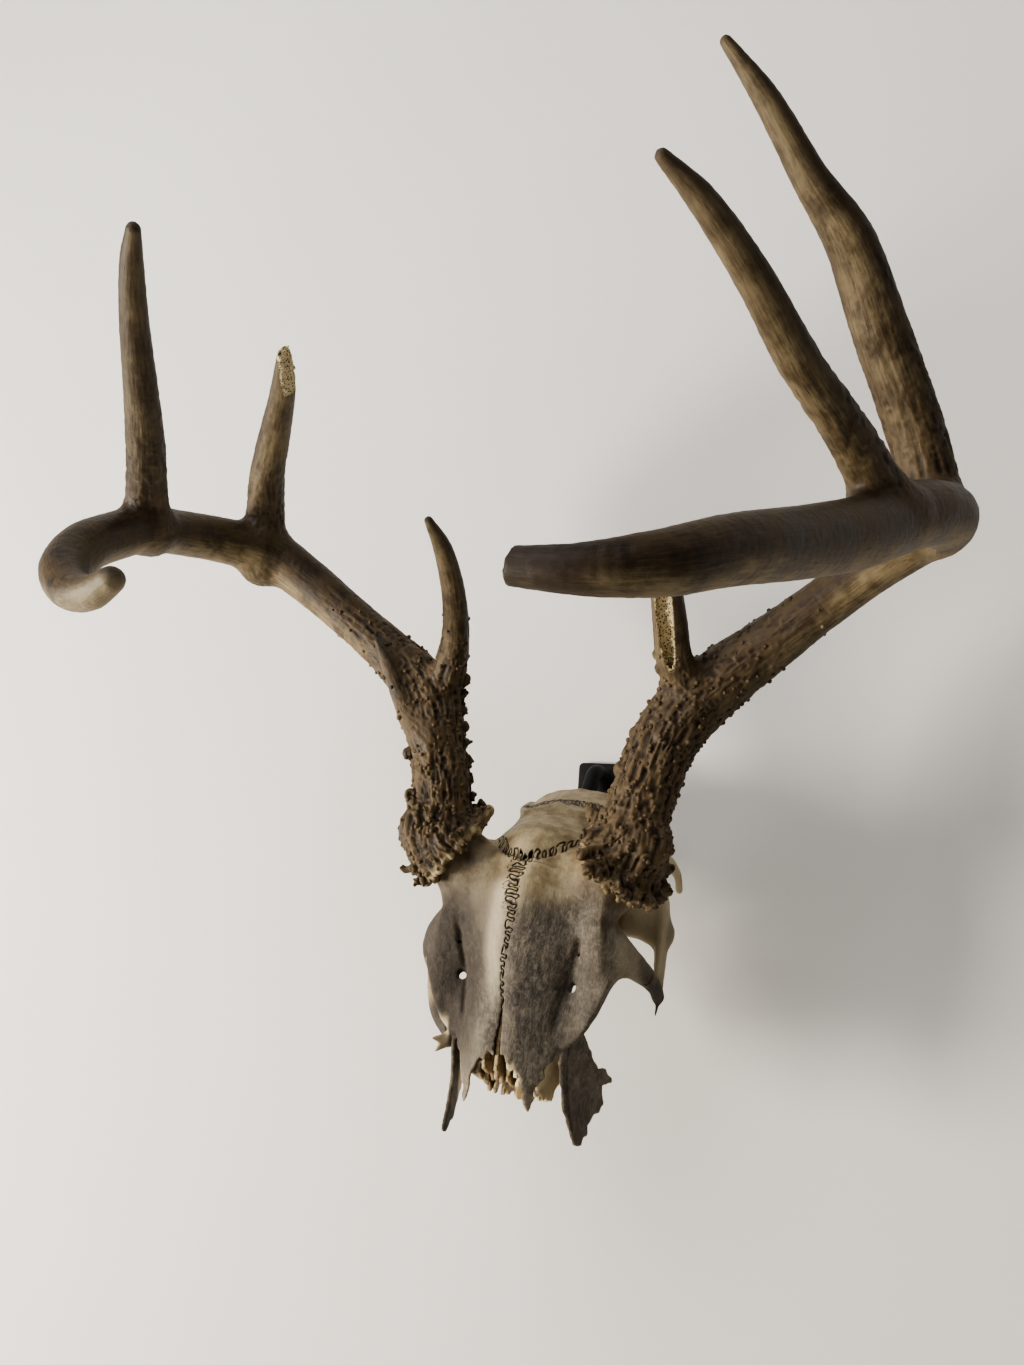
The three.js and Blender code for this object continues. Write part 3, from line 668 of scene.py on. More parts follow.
# %% [markdown]
# ## What each point of the bone knows
# The finish changes over the skull: cream behind, slate grey on the weathered front, amber under
# the antlers, painted shade mixed with dirt in the hollows, pale worn edges, and painted light and
# painted shade where the lamp falls on some parts. These masks are worked out once per point and
# kept as attributes, so the shader only has to mix colours and add the fine grain.

# %% Masks for the bone
def bone_values(points, normals):
    x, y, z = points.T
    far = np.abs(x)
    patch = noise(x, y / 1.6, z, 15, 50) * 0.6 + noise(x, y / 1.5, z, 5, 51) * 0.4
    fore = smoothstep(-y + 20 * (patch - 0.5) + 8 * smoothstep(x, -2, 6) + 8 * smoothstep(far, 16, 34), 24, 60)
    brow = smoothstep(x, 23, 38) * (1 - smoothstep(-y, 66, 84))
    bar_outside = smoothstep(x, 46, 52) * smoothstep(-y, 36, 42)
    outer = np.maximum(smoothstep(z - (forehead_height(x, y) - 9), 0, 4), bar_outside)
    plates = smoothstep(-y, 60, 76) * smoothstep(far, 20, 23) * smoothstep(-z, 22, 28)
    flake = smoothstep(-x, 30.5, 33) * smoothstep(-y, 82, 90) * smoothstep(-z, 22, 27)
    grey = np.clip(fore * (1 - 0.3 * brow) * np.maximum(outer, plates) * (1 - flake), 0, 1)
    bar = smoothstep(far, 47, 52) * smoothstep(-y, 34, 42)
    # Brown-tan bone near the left brow and on the bar; near the brow it is made darker as painted shade.
    tan = brow * smoothstep(-y, -2, 16) * (1 - 0.6 * bar) * smoothstep(z, -48, -36) + 0.3 * bar
    tan = np.clip(tan, 0, 1) * (x > 0)
    dark = smoothstep(x, 58, 62) * smoothstep(-y, 46, 52)
    # Painted shade: the broken plate on the left of the face is painted darker.
    dark = dark + 0.45 * smoothstep(x, 22, 26) * smoothstep(-y, 98, 110)
    # Painted shade: the slate on the right of the forehead, which the lamp lights, is painted darker.
    dark = dark + 0.7 * smoothstep(-x, 9, 17) * grey * (1 - smoothstep(-y, 96, 112))
    dark = dark + 0.2 * smoothstep(-x, 3, 9) * fore
    dark = dark + 0.35 * smoothstep(x, 24, 31) * (1 - smoothstep(x, 38, 46)) * smoothstep(-y, 44, 60) * outer
    # Painted shade: the outer edge of the left cheek arch is painted darker.
    dark = dark + 0.5 * smoothstep(x, 61.5, 63) * (z < -40)
    dark = dark + 0.75 * smoothstep(-x, 5, 14) * smoothstep(-y, -4, 10) * (1 - fore)
    dark = np.clip(dark * (1 - flake) + smoothstep(-x, 16, 20) * smoothstep(-y, 116, 122), 0, 1)
    away = np.linalg.norm(points - BURR_FOOT * np.array([1, 1, 1]), axis=1)
    away = np.minimum(away, np.linalg.norm(points - BURR_FOOT * np.array([-1, 1, 1]), axis=1))
    stain = (1 - smoothstep(away + 9 * patch, 15, 38)) * smoothstep(patch, 0.25, 0.6)
    # Painted shade mixed with dirt: how closed in each point is, read from the field at steps along its normal.
    # The finishes darken hollows by it.
    shut = np.zeros(len(points))
    for reach in (2.0, 5.0, 10.0):
        shut += (1 - np.clip(skull.read(points + normals * reach) / reach, 0, 1)) / 3
    # The temple wall is let off most of the painted shade of the hollows, and below it is painted pale as
    # painted light.
    temple = smoothstep(x, 36, 41) * smoothstep(-z, 34, 42) * smoothstep(y, -47, -40)
    shut *= 1 - 0.85 * temple
    around = sum(skull.read(points + step) for step in np.vstack([np.eye(3), -np.eye(3)]) * 1.1) / 6
    # Worn edges are paler; the broken flake is painted pale here too, as painted light on a face in shade.
    worn_and_lit = np.maximum(smoothstep(around, 0.06, 0.34), flake)
    across = np.full(len(points), 30.0)
    along = np.zeros(len(points))
    lines = [
        (*midline(x, y), (y < -13) & (y > -104) & (z > -40)),
        (coronal(x, y) * 0.9, 1.3 * (far - np.minimum(z, 0)) + 200, (y > -17) & (far < 35) & (z > -30)),
        ((y - LAMBDOID) * 0.8, 1.15 * (x - np.sign(x) * np.minimum(z, 0)) + 400, (z > -40) & (far < 27)),
    ]
    for line_across, line_along, near in lines:
        use = near & (np.abs(line_across) < np.abs(across)) & (np.abs(line_across) < 12)
        across[use], along[use] = line_across[use], line_along[use]
    tooth = smoothstep(-z, 73, 75) * (y < -50) * (x < -20)
    ridge = np.interp(y, [-90, -70, -50], [-3.5, -5.5, -9])
    width = np.interp(y, [-90, -70, -50], [2.5, 4.5, 7.5])
    top = z > -40
    # Painted light: pale cream is painted along the right side of the midline ridge where the lamp catches it,
    # fainter further forward on the right, on the postorbital bar, on the temple wall and on the broken flake.
    painted_light = np.exp(-((x - ridge) / width)**2) * smoothstep(-y, 22, 34) * (1 - smoothstep(-y, 66, 90))
    painted_light = painted_light * top * (x < 0.5)
    painted_light = painted_light + 0.22 * smoothstep(-x, 5, 9) * (1 - smoothstep(-x, 19, 26)) * smoothstep(-y, 84, 98) * top
    painted_light = painted_light + 0.4 * bar * (x > 0) * (1 - smoothstep(x, 56, 60))
    return {"grey": grey, "stain": stain, "shut": shut, "worn_and_lit": worn_and_lit, "across": across, "along": along,
            "tooth": tooth, "painted_light": np.clip(painted_light + flake + temple, 0, 1), "tan": tan, "dark": dark}


bones = {}
for name, region in REGIONS.items():
    x, y, z = (a.reshape([-1 if k == j else 1 for j in range(3)]) for k, a in enumerate(skull.axes))
    value = np.maximum(skull.value, region(x, y, z).astype(np.float32))
    points, quads = surface(value, skull.low, STEP)
    normals = vertex_normals(points, quads)
    rough = noise(*points.T, 2.1, 60) - 0.5
    fibre = noise(points[:, 0], points[:, 1] / 7, points[:, 2], 1.5, 61) - 0.5
    values = bone_values(points, normals)
    push = 0.22 * rough + 0.3 * fibre * values["grey"]
    cut_face = (np.abs(region(*points.T)) < 0.12)[quads].all(axis=1)
    bones[name] = make_piece(f"{name}_bone", points + normals * push[:, None], quads, values, cut_face)
    print(name, len(quads) * 2, "triangles")
points, quads = surface(nose.value, nose.low, nose.step)
normals = vertex_normals(points, quads)
scrolls = {**bone_values(points, normals), "tan": smoothstep(points[:, 0], 1, 8)}
bones["turbinates"] = make_piece("turbinate_scrolls", points, quads, scrolls)
print("turbinates", len(quads) * 2, "triangles")

# %% [markdown]
# ## Antlers
# An antler grows as soft bone under a skin full of blood vessels. They leave it ridged and pearled
# at the base and smooth at the tips. Each beam and tine is a line of places and radii, melted
# together at the forks in a field of its own. The left front beam is sawn off flat, and the left
# brow tine and the right second tine are broken.

# %% Lines of the beams and tines
ANTLERS = {
    "left": {
        "side": 1,
        "beam": [
            (48.1, -7, 3.9, 15), (50.9, -5.6, 6.4, 15.2), (54, 12, 15, 15.3), (60, 33, 26, 15.4),
            (67, 49, 34, 16),
            (78, 63, 41, 16.3), (96, 76, 50, 15.2), (118, 88, 61, 13.3), (138, 97, 73, 12),
            (162, 106, 89, 12.2),
            (184, 112, 104, 13.8), (192, 103, 118, 14.2), (186, 80, 140, 13.5), (172, 50, 161, 13.6),
            (163, 26, 176, 13), (148, -14, 206, 11.6), (134, -52, 236, 10), (121, -75, 252, 8.6),
            (104, -84, 259, 6.6), (86, -84, 261, 5.2), (80, -84, 261.6, 4.8),
        ],
        "brow": [(77, 62, 40, 12), (75, 66, 52, 10), (72, 70, 69, 8.8), (73, 74, 90, 8.2), (74, 78, 114, 7)],
        "second": [
            (189, 108, 112, 13.5), (184, 127, 134, 11.9), (177, 138, 156, 11.6), (166, 150, 188, 11.2),
            (156, 159, 220, 9.8), (142, 163, 246, 7), (127, 169, 277, 5.0), (114, 173, 298, 2.3),
        ],
        "third": [
            (172, 54, 162, 12), (166, 51, 184, 8.8), (158, 46, 208, 7.4), (146, 39, 239, 6.8),
            (136, 36, 269, 5.8),
            (124, 33, 297, 4.3), (115, 32, 311, 2.2),
        ],
        "knobs": [
            (29.2, 13.8, 15.3, 3.2), (32.2, -6.3, 22.7, 3.4), (34.6, -20.4, 27.7, 3), (39.4, -28, 26.5, 3.4),
            (43.8, -26.9, 21, 3.4), (49.5, -25.9, 14.1, 3.8), (53.4, -33, 14.8, 3), (57, -37, 12.3, 2.2),
            (59.6, -31.3, 5.8, 3.4), (64.8, -27.8, -1.8, 3.8), (66.5, -20.9, -7.5, 3.6),
            (67.7, -11.1, -14.1, 3.6),
            (66.4, 5.1, -21.4, 3.2), (55, 18, -14, 4), (40, 22, 0, 4),
        ],
        "pearls": [
            (39.4, 7.9, 19.3, 2.4), (42, 18, 24.5, 2.0), (45.4, 28.9, 30.3, 2.6), (48.4, 37, 34, 2.0),
            (51.7, 44.7, 38.5, 2.8),
            (57.5, 52, 42.5, 2.2), (62.9, 58.8, 46.5, 2.8), (65.7, 63.4, 56, 1.8), (64.2, 66, 64, 2.0),
            (63.8, 67.7, 72.4, 1.6),
        ],
    },
    "right": {
        "side": -1,
        "beam": [
            (-48.1, -7, 3.9, 14.5), (-50.9, -5.6, 6.4, 14.8), (-53, 14, 17, 14.5), (-59, 38, 30, 14.5),
            (-66, 57, 39, 15.4), (-76, 71, 48, 15), (-96, 84, 61, 12.6), (-121, 98, 76, 12.2),
            (-148, 112, 92, 13.2), (-168, 118, 108, 13.8), (-183, 106, 128, 12.8), (-187, 86, 150, 12.1),
            (-184, 65, 170, 12), (-182, 43, 183, 11.7), (-176, 20, 195, 11.6), (-165, -4, 202, 11),
            (-146, -22, 206, 9), (-126, -30, 211, 7.2), (-113, -29, 216, 5.6),
        ],
        "brow": [
            (-66, 64, 36, 12), (-58, 71, 50, 9.6), (-49, 79, 69, 7.6), (-41, 84, 97, 6.4),
            (-36, 85, 130, 4.8),
            (-36, 83, 150, 2.2),
        ],
        "second": [
            (-172, 114, 104, 13.5), (-167, 132, 126, 10.6), (-158, 137, 146, 9.6), (-143, 139, 168, 8.4),
            (-125, 138, 192, 6.8), (-104, 133, 221, 4.6),
        ],
        "third": [
            (-184, 66, 168, 12), (-176, 70, 186, 9.8), (-163, 71, 207, 9), (-145, 71, 238, 7.7),
            (-125, 71, 274, 6.1), (-110, 71, 298, 4.6), (-101, 70, 309, 3.0),
        ],
        "sticker": [
            (-60, 36, 40, 7), (-72, 45, 47, 5.4), (-80, 57, 57, 4.6), (-87, 68, 67, 3.2), (-93, 76, 76, 1.1),
        ],
        "knobs": [
            (-30.5, 14.7, 6.9, 4.6), (-30.9, 4.4, 12.3, 3.2), (-65.3, 5.4, 24.9, 3.4), (-58.1, -0.5, 22.9, 3),
            (-57.6, -16.1, 12.7, 3.4), (-49.5, -15, 10.4, 3.4), (-60, -29.8, 1.4, 2.4), (-54, -27, 3, 3),
            (-47.6, -25.6, 4.3, 3.2), (-38.8, -12.8, 20, 3), (-33.9, -6.5, 18.7, 3), (-66, -8, -10, 3.8),
            (-66, 6, -19, 3.4), (-55, 20, -14, 4), (-40, 24, -2, 4), (-64, -20, 0, 3),
        ],
        "pearls": [
            (-48.3, 73.7, 47.1, 2.5), (-49.4, 67.5, 41.5, 1.9), (-50.4, 61.5, 35.5, 2.3),
            (-48.2, 53.5, 31, 2.2),
            (-45.5, 45.5, 27.5, 2.0), (-43.3, 36.5, 23.5, 2.4), (-41.2, 28, 18.5, 2.2),
            (-39.6, 20, 13.5, 1.8),
            (-67.5, 10, 26, 2.2), (-72, 30, 36, 2.6), (-66, 22, 33, 1.8), (-79, 48, 46, 2.0),
        ],
    },
}
PARTS = {"root": ("brow", "sticker"), "crown": ("second", "third")}
ROOT_LENGTH = {"left": 168, "right": 160}      # along the beam from the skull, in millimetres
ANTLER_STEP = {"root": 0.62, "crown": 0.9}
print("two antlers,", sum(len(a) - 3 for a in ANTLERS.values()), "tines")

# %% [markdown]
# ## From lines to antlers
# Along each line a frame is carried without twist. It unrolls the antler: u and v across, s along.
# Ridges and grain are drawn in those unrolled coordinates, so they run up the beam as the blood
# vessels did. Near a fork the lines share a point between them, by how close each one is.

# %% Fields for the antlers
class Line:
    def __init__(self, stations):
        self.path = smooth_path(stations)
        ahead = np.gradient(self.path[:, :3], axis=0)
        self.ahead = ahead / np.linalg.norm(ahead, axis=1)[:, None]
        self.along = np.r_[0, np.cumsum(np.linalg.norm(np.diff(self.path[:, :3], axis=0), axis=1))]
        across = [np.cross(self.ahead[0], [0.3, 0.2, 1])]
        for way in self.ahead:
            turned = across[-1] - (across[-1] @ way) * way
            across.append(turned / np.linalg.norm(turned))
        self.across = np.array(across[1:])
        self.beside = np.cross(self.ahead, self.across)

    def unroll(self, points):
        """u, v and s of each point, the gap to the line's skin, and the share of its length."""
        nearest = np.concatenate([
            ((block[:, None, :] - self.path[None, :, :3])**2).sum(2).argmin(1)
            for block in np.array_split(points, max(1, len(points) // 4000))
        ])
        off = points - self.path[nearest, :3]
        u, v, ahead = ((off * way[nearest]).sum(1) for way in (self.across, self.beside, self.ahead))
        s = self.along[nearest] + ahead
        return u, v, s, np.linalg.norm(off, axis=1) - self.path[nearest, 3], s / self.along[-1]


def add_line(field, path, soft):
    low, high = (path[:, :3] - path[:, 3:]).min(0), (path[:, :3] + path[:, 3:]).max(0)
    whole, xyz = field.window(low, high, soft + 3)
    own = Field(field.low, field.low + 1, field.step)
    own.axes, own.value = [a.ravel() for a in xyz], np.full(field.value[whole].shape, 20, np.float32)
    for a, b in zip(path, path[1:]):
        shape, *ends = rod([a, b], per=1)
        cut, here = own.window(*ends, soft + 3)
        own.value[cut] = np.minimum(own.value[cut], shape(*here))
    field.value[whole] = melt(field.value[whole], own.value, soft)


def grow(label, part, step):
    """The field of the root or the crown of an antler, and the lines in it."""
    antler, split = ANTLERS[label], ROOT_LENGTH[label]
    side = antler["side"]
    lines = {name: Line(antler[name]) for name in ("beam", *PARTS[part]) if name in antler}
    along, path = lines["beam"].along, lines["beam"].path
    beam = path[along < split + 8] if part == "root" else path[along > split - 4]
    rows = np.vstack([beam, *(line.path for name, line in lines.items() if name != "beam")])
    field = Field((rows[:, :3] - rows[:, 3:]).min(0) - 10, (rows[:, :3] + rows[:, 3:]).max(0) + 10, step)
    for name, line in lines.items():
        add_line(field, beam if name == "beam" else line.path, 0 if name == "beam" else 7)
    if part == "root":
        foot, lean = BURR_FOOT * [side, 1, 1], BURR_LEAN * [side, 1, 1]
        add_burr(field, foot, lean, antler["knobs"])
        for x, y, z, size in antler["pearls"]:
            field.add(bulb((x, y, z), (size, size * 1.15, size * 1.15)), 1.6)
        k = np.searchsorted(along, split)
        x, y, z = np.ix_(*(axis - at for axis, at in zip(field.axes, path[k, :3])))
        end = x * lines["beam"].ahead[k, 0] + y * lines["beam"].ahead[k, 1] + z * lines["beam"].ahead[k, 2]
        field.value = np.maximum(field.value, end.astype(np.float32))
    return field, lines


SKIRT_RIDGES = 50


def add_burr(field, foot, lean, knobs):
    """A flared, knobbly ring round the foot of an antler, flat where it sits on the skull."""
    flare = [
        (*(foot + lean * up), radius)
        for up, radius in ((0, 18.6), (3, 19.6), (6, 18.4), (10, 16.6), (16, 15))
    ]
    add_line(field, np.array(flare), 3)
    x, y, z = np.ix_(*field.axes)
    under = (foot[0] - x) * lean[0] + (foot[1] - y) * lean[1] + (foot[2] - z) * lean[2] - 1.2
    field.value = np.maximum(field.value, under.astype(np.float32))
    ring = np.random.default_rng(31)
    sideways = np.cross(lean, [0, 0, 1.0])
    sideways /= np.linalg.norm(sideways)
    other = np.cross(lean, sideways)
    for k in range(SKIRT_RIDGES):
        angle = 2 * math.pi * (k + ring.uniform(-0.3, 0.3)) / SKIRT_RIDGES
        out = math.cos(angle) * sideways + math.sin(angle) * other
        size, up, away = ring.uniform(0.8, 1.6), ring.uniform(-3.4, 0.8), ring.uniform(18.6, 22)
        top = foot + lean * (up + ring.uniform(10, 22)) + out * (away - 6.5)
        field.add(rod([(*(foot + lean * up + out * away), size), (*top, size * 0.9)], per=1), 2.2)
    for x, y, z, size in knobs:
        middle = foot + lean * 5
        root = middle + (np.array([x, y, z]) - middle) * 0.6
        field.add(rod([(*root, size * 1.3), (x, y, z, size * 0.6)], per=1), 2.4)


def break_end(field, point, way, size, seed):
    """Snap the end off past a point, with a ragged face."""
    point, way = np.array(point, float), np.array(way, float) / np.linalg.norm(way)

    def shape(x, y, z):
        past = (x - point[0]) * way[0] + (y - point[1]) * way[1] + (z - point[2]) * way[2]
        return size * (noise(x + 0 * past, y + 0 * past, z + 0 * past, 2.2, seed) - 0.5) - past

    reach = np.array([22.0, 22, 22])
    field.cut((shape, point - reach, point + reach), 0.4)


BROW_HOLLOW = [
    (73.6, 61, 57, 0.4), (72.4, 63.2, 66, 2.0), (71.8, 65.5, 78, 3.0), (72.3, 67.5, 90, 3.3),
    (73, 70, 104, 3.5), (73.5, 72, 116, 3.6),
]


# The two faces of a snapped tine: a point, the way it faces, how ragged it is, and its seed.
SNAPPED = [
    ((-106, 133.6, 219), (0.55, -0.15, 0.8), 6, 72),
    ((-106.5, 133.7, 218.5), (0.93, -0.29, -0.37), 2, 73),
]


def damage(label, part, field):
    """The sawn and broken ends, and the spur on the right burr."""
    if (label, part) == ("left", "crown"):
        break_end(field, (86.2, -84, 261), (-1, 0.21, 0.19), 0.8, 70)
    if (label, part) == ("left", "root"):
        break_end(field, (74, 77.5, 108), (0.1, 0.35, 1), 5, 71)
        field.cut(rod(BROW_HOLLOW), 0.8)
    if (label, part) == ("right", "crown"):
        for face in SNAPPED:
            break_end(field, *face)
    if (label, part) == ("right", "root"):
        field.add(rod([(-47.9, -18.4, 5.3, 3.4), (-57.6, -22.6, 6.7, 2.8), (-66.3, -25.4, 8.9, 1.0)]), 2)


print(len(SNAPPED), "broken faces on the right second tine")

# %% [markdown]
# ## Ridges and grain
# The mesh from the field is smooth. Each point then moves along its normal by ridged noise in the
# unrolled coordinates: over a millimetre at the burr, almost nothing at the tips. An antler is cut
# into root and crown, which keeps each mesh light, and the cut lies inside the beam.

# %% Antler meshes
# How much darker than the rest the coat of a beam or tine is.
COAT = {
    "left": {"beam": 0.15, "second": 0.4, "third": 0.42, "brow": 0.25},
    "right": {"beam": 0.08, "second": 0.5, "third": 0.65, "brow": 0.35, "sticker": 0.2},
}


def unrolled(lines, points):
    """Every line's view of the points, weighted by how near its skin is."""
    total, parts = 0, []
    for name, line in lines.items():
        u, v, s, gap, share = line.unroll(points)
        weight = np.exp(-np.clip(gap, -4, 40) / 2.5)
        parts.append((name, u, v, s, share, weight))
        total = total + weight
    return [(name, u, v, s, share, weight / total) for name, u, v, s, share, weight in parts]


def antler_values(label, field, lines, points, normals):
    height, rough, tip, coat, dark = (np.zeros(len(points)) for _ in range(5))
    best, straight = np.zeros(len(points)), np.zeros((len(points), 3))
    for name, u, v, s, share, weight in unrolled(lines, points):
        seed = 80 + len(name)
        ridge = 1 - np.abs(2 * noise(u, v, s / 4.5, 3.0, seed) - 1)
        knurl = 1 - np.abs(2 * noise(u, v, s / 1.9, 1.9, seed + 1) - 1)
        skirt = (1 - smoothstep(s, 14, 30)) * 0.22 if name == "beam" else 0
        height += weight * ((0.5 + skirt) * ridge + (0.5 - skirt) * knurl)
        root = 1 - smoothstep(s, 20, 210) if name == "beam" else 0.45 * (1 - smoothstep(share, 0.1, 0.75))
        if name == "brow" and label == "right":
            root = 0.7 * (1 - smoothstep(share, 0.05, 0.6))
        rough += weight * root
        if name != "beam":
            tip += weight * smoothstep(share, 0.55, 1)
        elif label == "right":
            tip += weight * smoothstep(share, 0.93, 1)
        coat += weight * noise(u, v, s / 4, 7, seed + 2)
        dark += weight * COAT[label].get(name, 0) * (0.7 + 0.6 * noise(u, v, s / 5, 9, seed + 3))
        if name == "beam" and label == "left":
            to_sawn_end = smoothstep(-points[:, 0] + 12 * (noise(u, v, s / 4, 5, 88) - 0.5), -126, -98)
            dark += weight * to_sawn_end * (points[:, 2] > 200)
            dark += weight * 0.35 * smoothstep(s, 50, 80) * (1 - smoothstep(s, 150, 190))
        use = weight > best
        best[use] = weight[use]
        straight[use] = np.column_stack([u, v, s])[use]
    # Faces that look down turn ivory: partly worn paler, partly painted light from below.
    under = smoothstep(-(normals @ [0, math.sin(TURN), math.cos(TURN)]) + 0.6 * (coat - 0.5), 0.1, 0.85)
    # Painted shade mixed with dirt: how closed in each point is, read from the field along its normal.
    shut = sum(1 - np.clip(field.read(points + normals * reach) / reach, 0, 1) for reach in (2.0, 5.0)) / 2
    inside = np.full(len(points), 30.0)
    for a, b in zip(BROW_HOLLOW, BROW_HOLLOW[1:]):
        shape, *_ = rod([a, b], per=1)
        inside = np.minimum(inside, shape(*points.T))
    open_end = (1 - smoothstep(inside, 0.4, 1.0)) * (label == "left")
    for at, way, size, _ in SNAPPED:
        past = (points - at) @ (np.array(way) / np.linalg.norm(way)) + size / 2
        near = np.linalg.norm(points - at, axis=1) < 24
        open_end = np.maximum(open_end, smoothstep(past, -0.9, -0.2) * near)
    # Partly wear, partly painted light: the lower sides of the right antler's curl tips are paler.
    pale = smoothstep(-(normals @ [0, math.sin(TURN), math.cos(TURN)]), -0.5, 0.4)
    pale = pale * (points[:, 0] < 0) * (points[:, 1] < 0)
    side = ANTLERS[label]["side"]
    above = (points - BURR_FOOT * [side, 1, 1]) @ (BURR_LEAN * [side, 1, 1])
    scar = (1 - smoothstep(above, -1.5, 2.5)) * (np.abs(points[:, 0]) < 72)
    return {
        "height": height, "rough": rough, "tip": tip, "under": under, "shut": shut,
        "pure": smoothstep(best, 0.55, 0.9), "open": open_end, "scar": scar,
        "dark": np.clip(dark, 0, 1) * (1 - 0.7 * tip), "pale": tip * pale, "straight": straight,
    }


antlers = {}
for label in ANTLERS:
    for part in PARTS:
        field, lines = grow(label, part, ANTLER_STEP[part])
        damage(label, part, field)
        points, quads = surface(field.value, field.low, field.step)
        normals = vertex_normals(points, quads)
        values = antler_values(label, field, lines, points, normals)
        push = (values["height"] - 0.55) * (0.12 + 3.6 * values["rough"])
        push = push + 0.25 * (noise(*points.T, 1.8, 90) - 0.5)
        push = push + values["open"] * (1.6 * noise(*points.T, 1.3, 93) - 1.2)
        from_split = lines["beam"].unroll(points)[2] - ROOT_LENGTH[label]
        if part == "crown":
            push = push - 0.3 * (1 - smoothstep(from_split, -3, -0.2)) * (from_split < 0)
        cut_face = (np.abs(from_split) < 0.25)[quads].all(axis=1) if part == "root" else None
        name = f"antler_{label}_{part}"
        antlers[name] = make_piece(name, points + normals * push[:, None], quads, values, cut_face)
        print(name, len(quads) * 2, "triangles")

# %% [markdown]
# ## Pearls
# Between the ridges sit pearls, small round beads of antler. Hundreds of nearly equal beads are
# work for Geometry Nodes: points are scattered on the root of each antler with a fixed seed, and
# a small ball, sunk to its middle, is set on each one.

# %% Pearls by Geometry Nodes
def tree_node(tree, kind, inputs=None, **settings):
    made = tree.nodes.new(kind)
    for key, value in settings.items():
        setattr(made, key, value)
    for key, value in (inputs or {}).items():
        if isinstance(value, bpy.types.NodeSocket):
            tree.links.new(value, made.inputs[key])
        else:
            made.inputs[key].default_value = value
    return made


def pearl_tree(material):
    tree = bpy.data.node_groups.new("pearls", "GeometryNodeTree")
    sockets = [
        ("Antler", "NodeSocketGeometry", None), ("Pearls per square metre", "NodeSocketFloat", 30000),
        ("Pearl radius", "NodeSocketFloat", 0.0014), ("Seed", "NodeSocketInt", 5),
    ]
    for name, kind, value in sockets:
        socket = tree.interface.new_socket(name, in_out="INPUT", socket_type=kind)
        if value is not None:
            socket.default_value = value
    tree.interface.new_socket("Pearls", in_out="OUTPUT", socket_type="NodeSocketGeometry")
    given = tree.nodes.new("NodeGroupInput").outputs

    def node(kind, inputs, output, **settings):
        return tree_node(tree, kind, inputs, **settings).outputs[output]

    rough, height = (
        node("GeometryNodeInputNamedAttribute", {"Name": key}, "Attribute", data_type="FLOAT")
        for key in ("rough", "height")
    )
    high = node("ShaderNodeMapRange", {0: height, 1: 0.5, 2: 0.75}, 0)
    share = node("ShaderNodeMath", {0: rough, 1: high}, 0, operation="MULTIPLY")
    density = node("ShaderNodeMath", {0: share, 1: given["Pearls per square metre"]}, 0, operation="MULTIPLY")
    spread = tree_node(tree, "GeometryNodeDistributePointsOnFaces", {
        "Mesh": given["Antler"], "Density": density, "Seed": given["Seed"]}, distribute_method="RANDOM").outputs
    ball = node("GeometryNodeMeshUVSphere",
                {"Segments": 8, "Rings": 5, "Radius": given["Pearl radius"]}, "Mesh")
    ball = node("GeometryNodeSetShadeSmooth", {"Geometry": ball}, "Geometry")
    size = node("FunctionNodeRandomValue", {2: 0.45, 3: 1.15, "Seed": 3}, 1, data_type="FLOAT")
    even = node("ShaderNodeCombineXYZ", {"X": size, "Y": size, "Z": size}, 0)
    placed = node("GeometryNodeInstanceOnPoints",
                  {"Points": spread["Points"], "Instance": ball, "Rotation": spread["Rotation"], "Scale": even},
                  "Instances")
    real = node("GeometryNodeRealizeInstances", {"Geometry": placed}, "Geometry")
    dressed = node("GeometryNodeSetMaterial", {"Geometry": real, "Material": material}, "Geometry")
    tree.links.new(dressed, tree.nodes.new("NodeGroupOutput").inputs["Pearls"])
    return tree


def plain_mesh(host, tree, name, settings):
    """The result of a node tree on host's mesh, as a plain mesh object. The modifier is removed."""
    modifier = host.modifiers.new(name, "NODES")
    modifier.node_group = tree
    sockets = {item.name: item.identifier for item in tree.interface.items_tree if item.in_out == "INPUT"}
    for key, value in settings.items():
        modifier[sockets[key]] = value
    graph = bpy.context.evaluated_depsgraph_get()
    ready = host.evaluated_get(graph)
    mesh = bpy.data.meshes.new_from_object(ready, preserve_all_data_layers=True, depsgraph=graph)
    host.modifiers.remove(modifier)
    mesh.name = name
    piece = bpy.data.objects.new(name, mesh)
    bpy.context.scene.collection.objects.link(piece)
    return piece


print("pearls stand where an antler is rough and high")

# %% [markdown]
# ## The bracket
# Little of the bracket shows: a black steel plate against the wall, and behind the skull a boss
# and a bent rod that goes into the foramen magnum. Steel parts are crisp, so they are made from
# outlines and turned profiles with small bevels, not from a field.

# %% Plate, boss, rod and screws
CREASE = 0.6                   # faces that meet at a larger angle than this keep a sharp edge
SCREW_FOOT = 0.0043            # how far from the wall a screw head begins and ends, in metres
SCREW_TOP = 0.0063


def mesh_piece(name, build, bevel=0.0006):
    shape = bmesh.new()
    build(shape)
    bmesh.ops.remove_doubles(shape, verts=shape.verts, dist=1e-6)
    bmesh.ops.recalc_face_normals(shape, faces=shape.faces)
    mesh = bpy.data.meshes.new(name)
    shape.to_mesh(mesh)
    shape.free()
    piece = bpy.data.objects.new(name, mesh)
    bpy.context.scene.collection.objects.link(piece)
    if bevel:
        modifier = piece.modifiers.new("bevel", "BEVEL")
        modifier.width, modifier.segments = bevel, 3
        modifier.limit_method, modifier.angle_limit = "ANGLE", CREASE
        ready = piece.evaluated_get(bpy.context.evaluated_depsgraph_get())
        piece.data = bpy.data.meshes.new_from_object(ready)
        piece.modifiers.clear()
    piece.data.shade_smooth()
    piece.data.set_sharp_from_angle(angle=CREASE)
    return piece


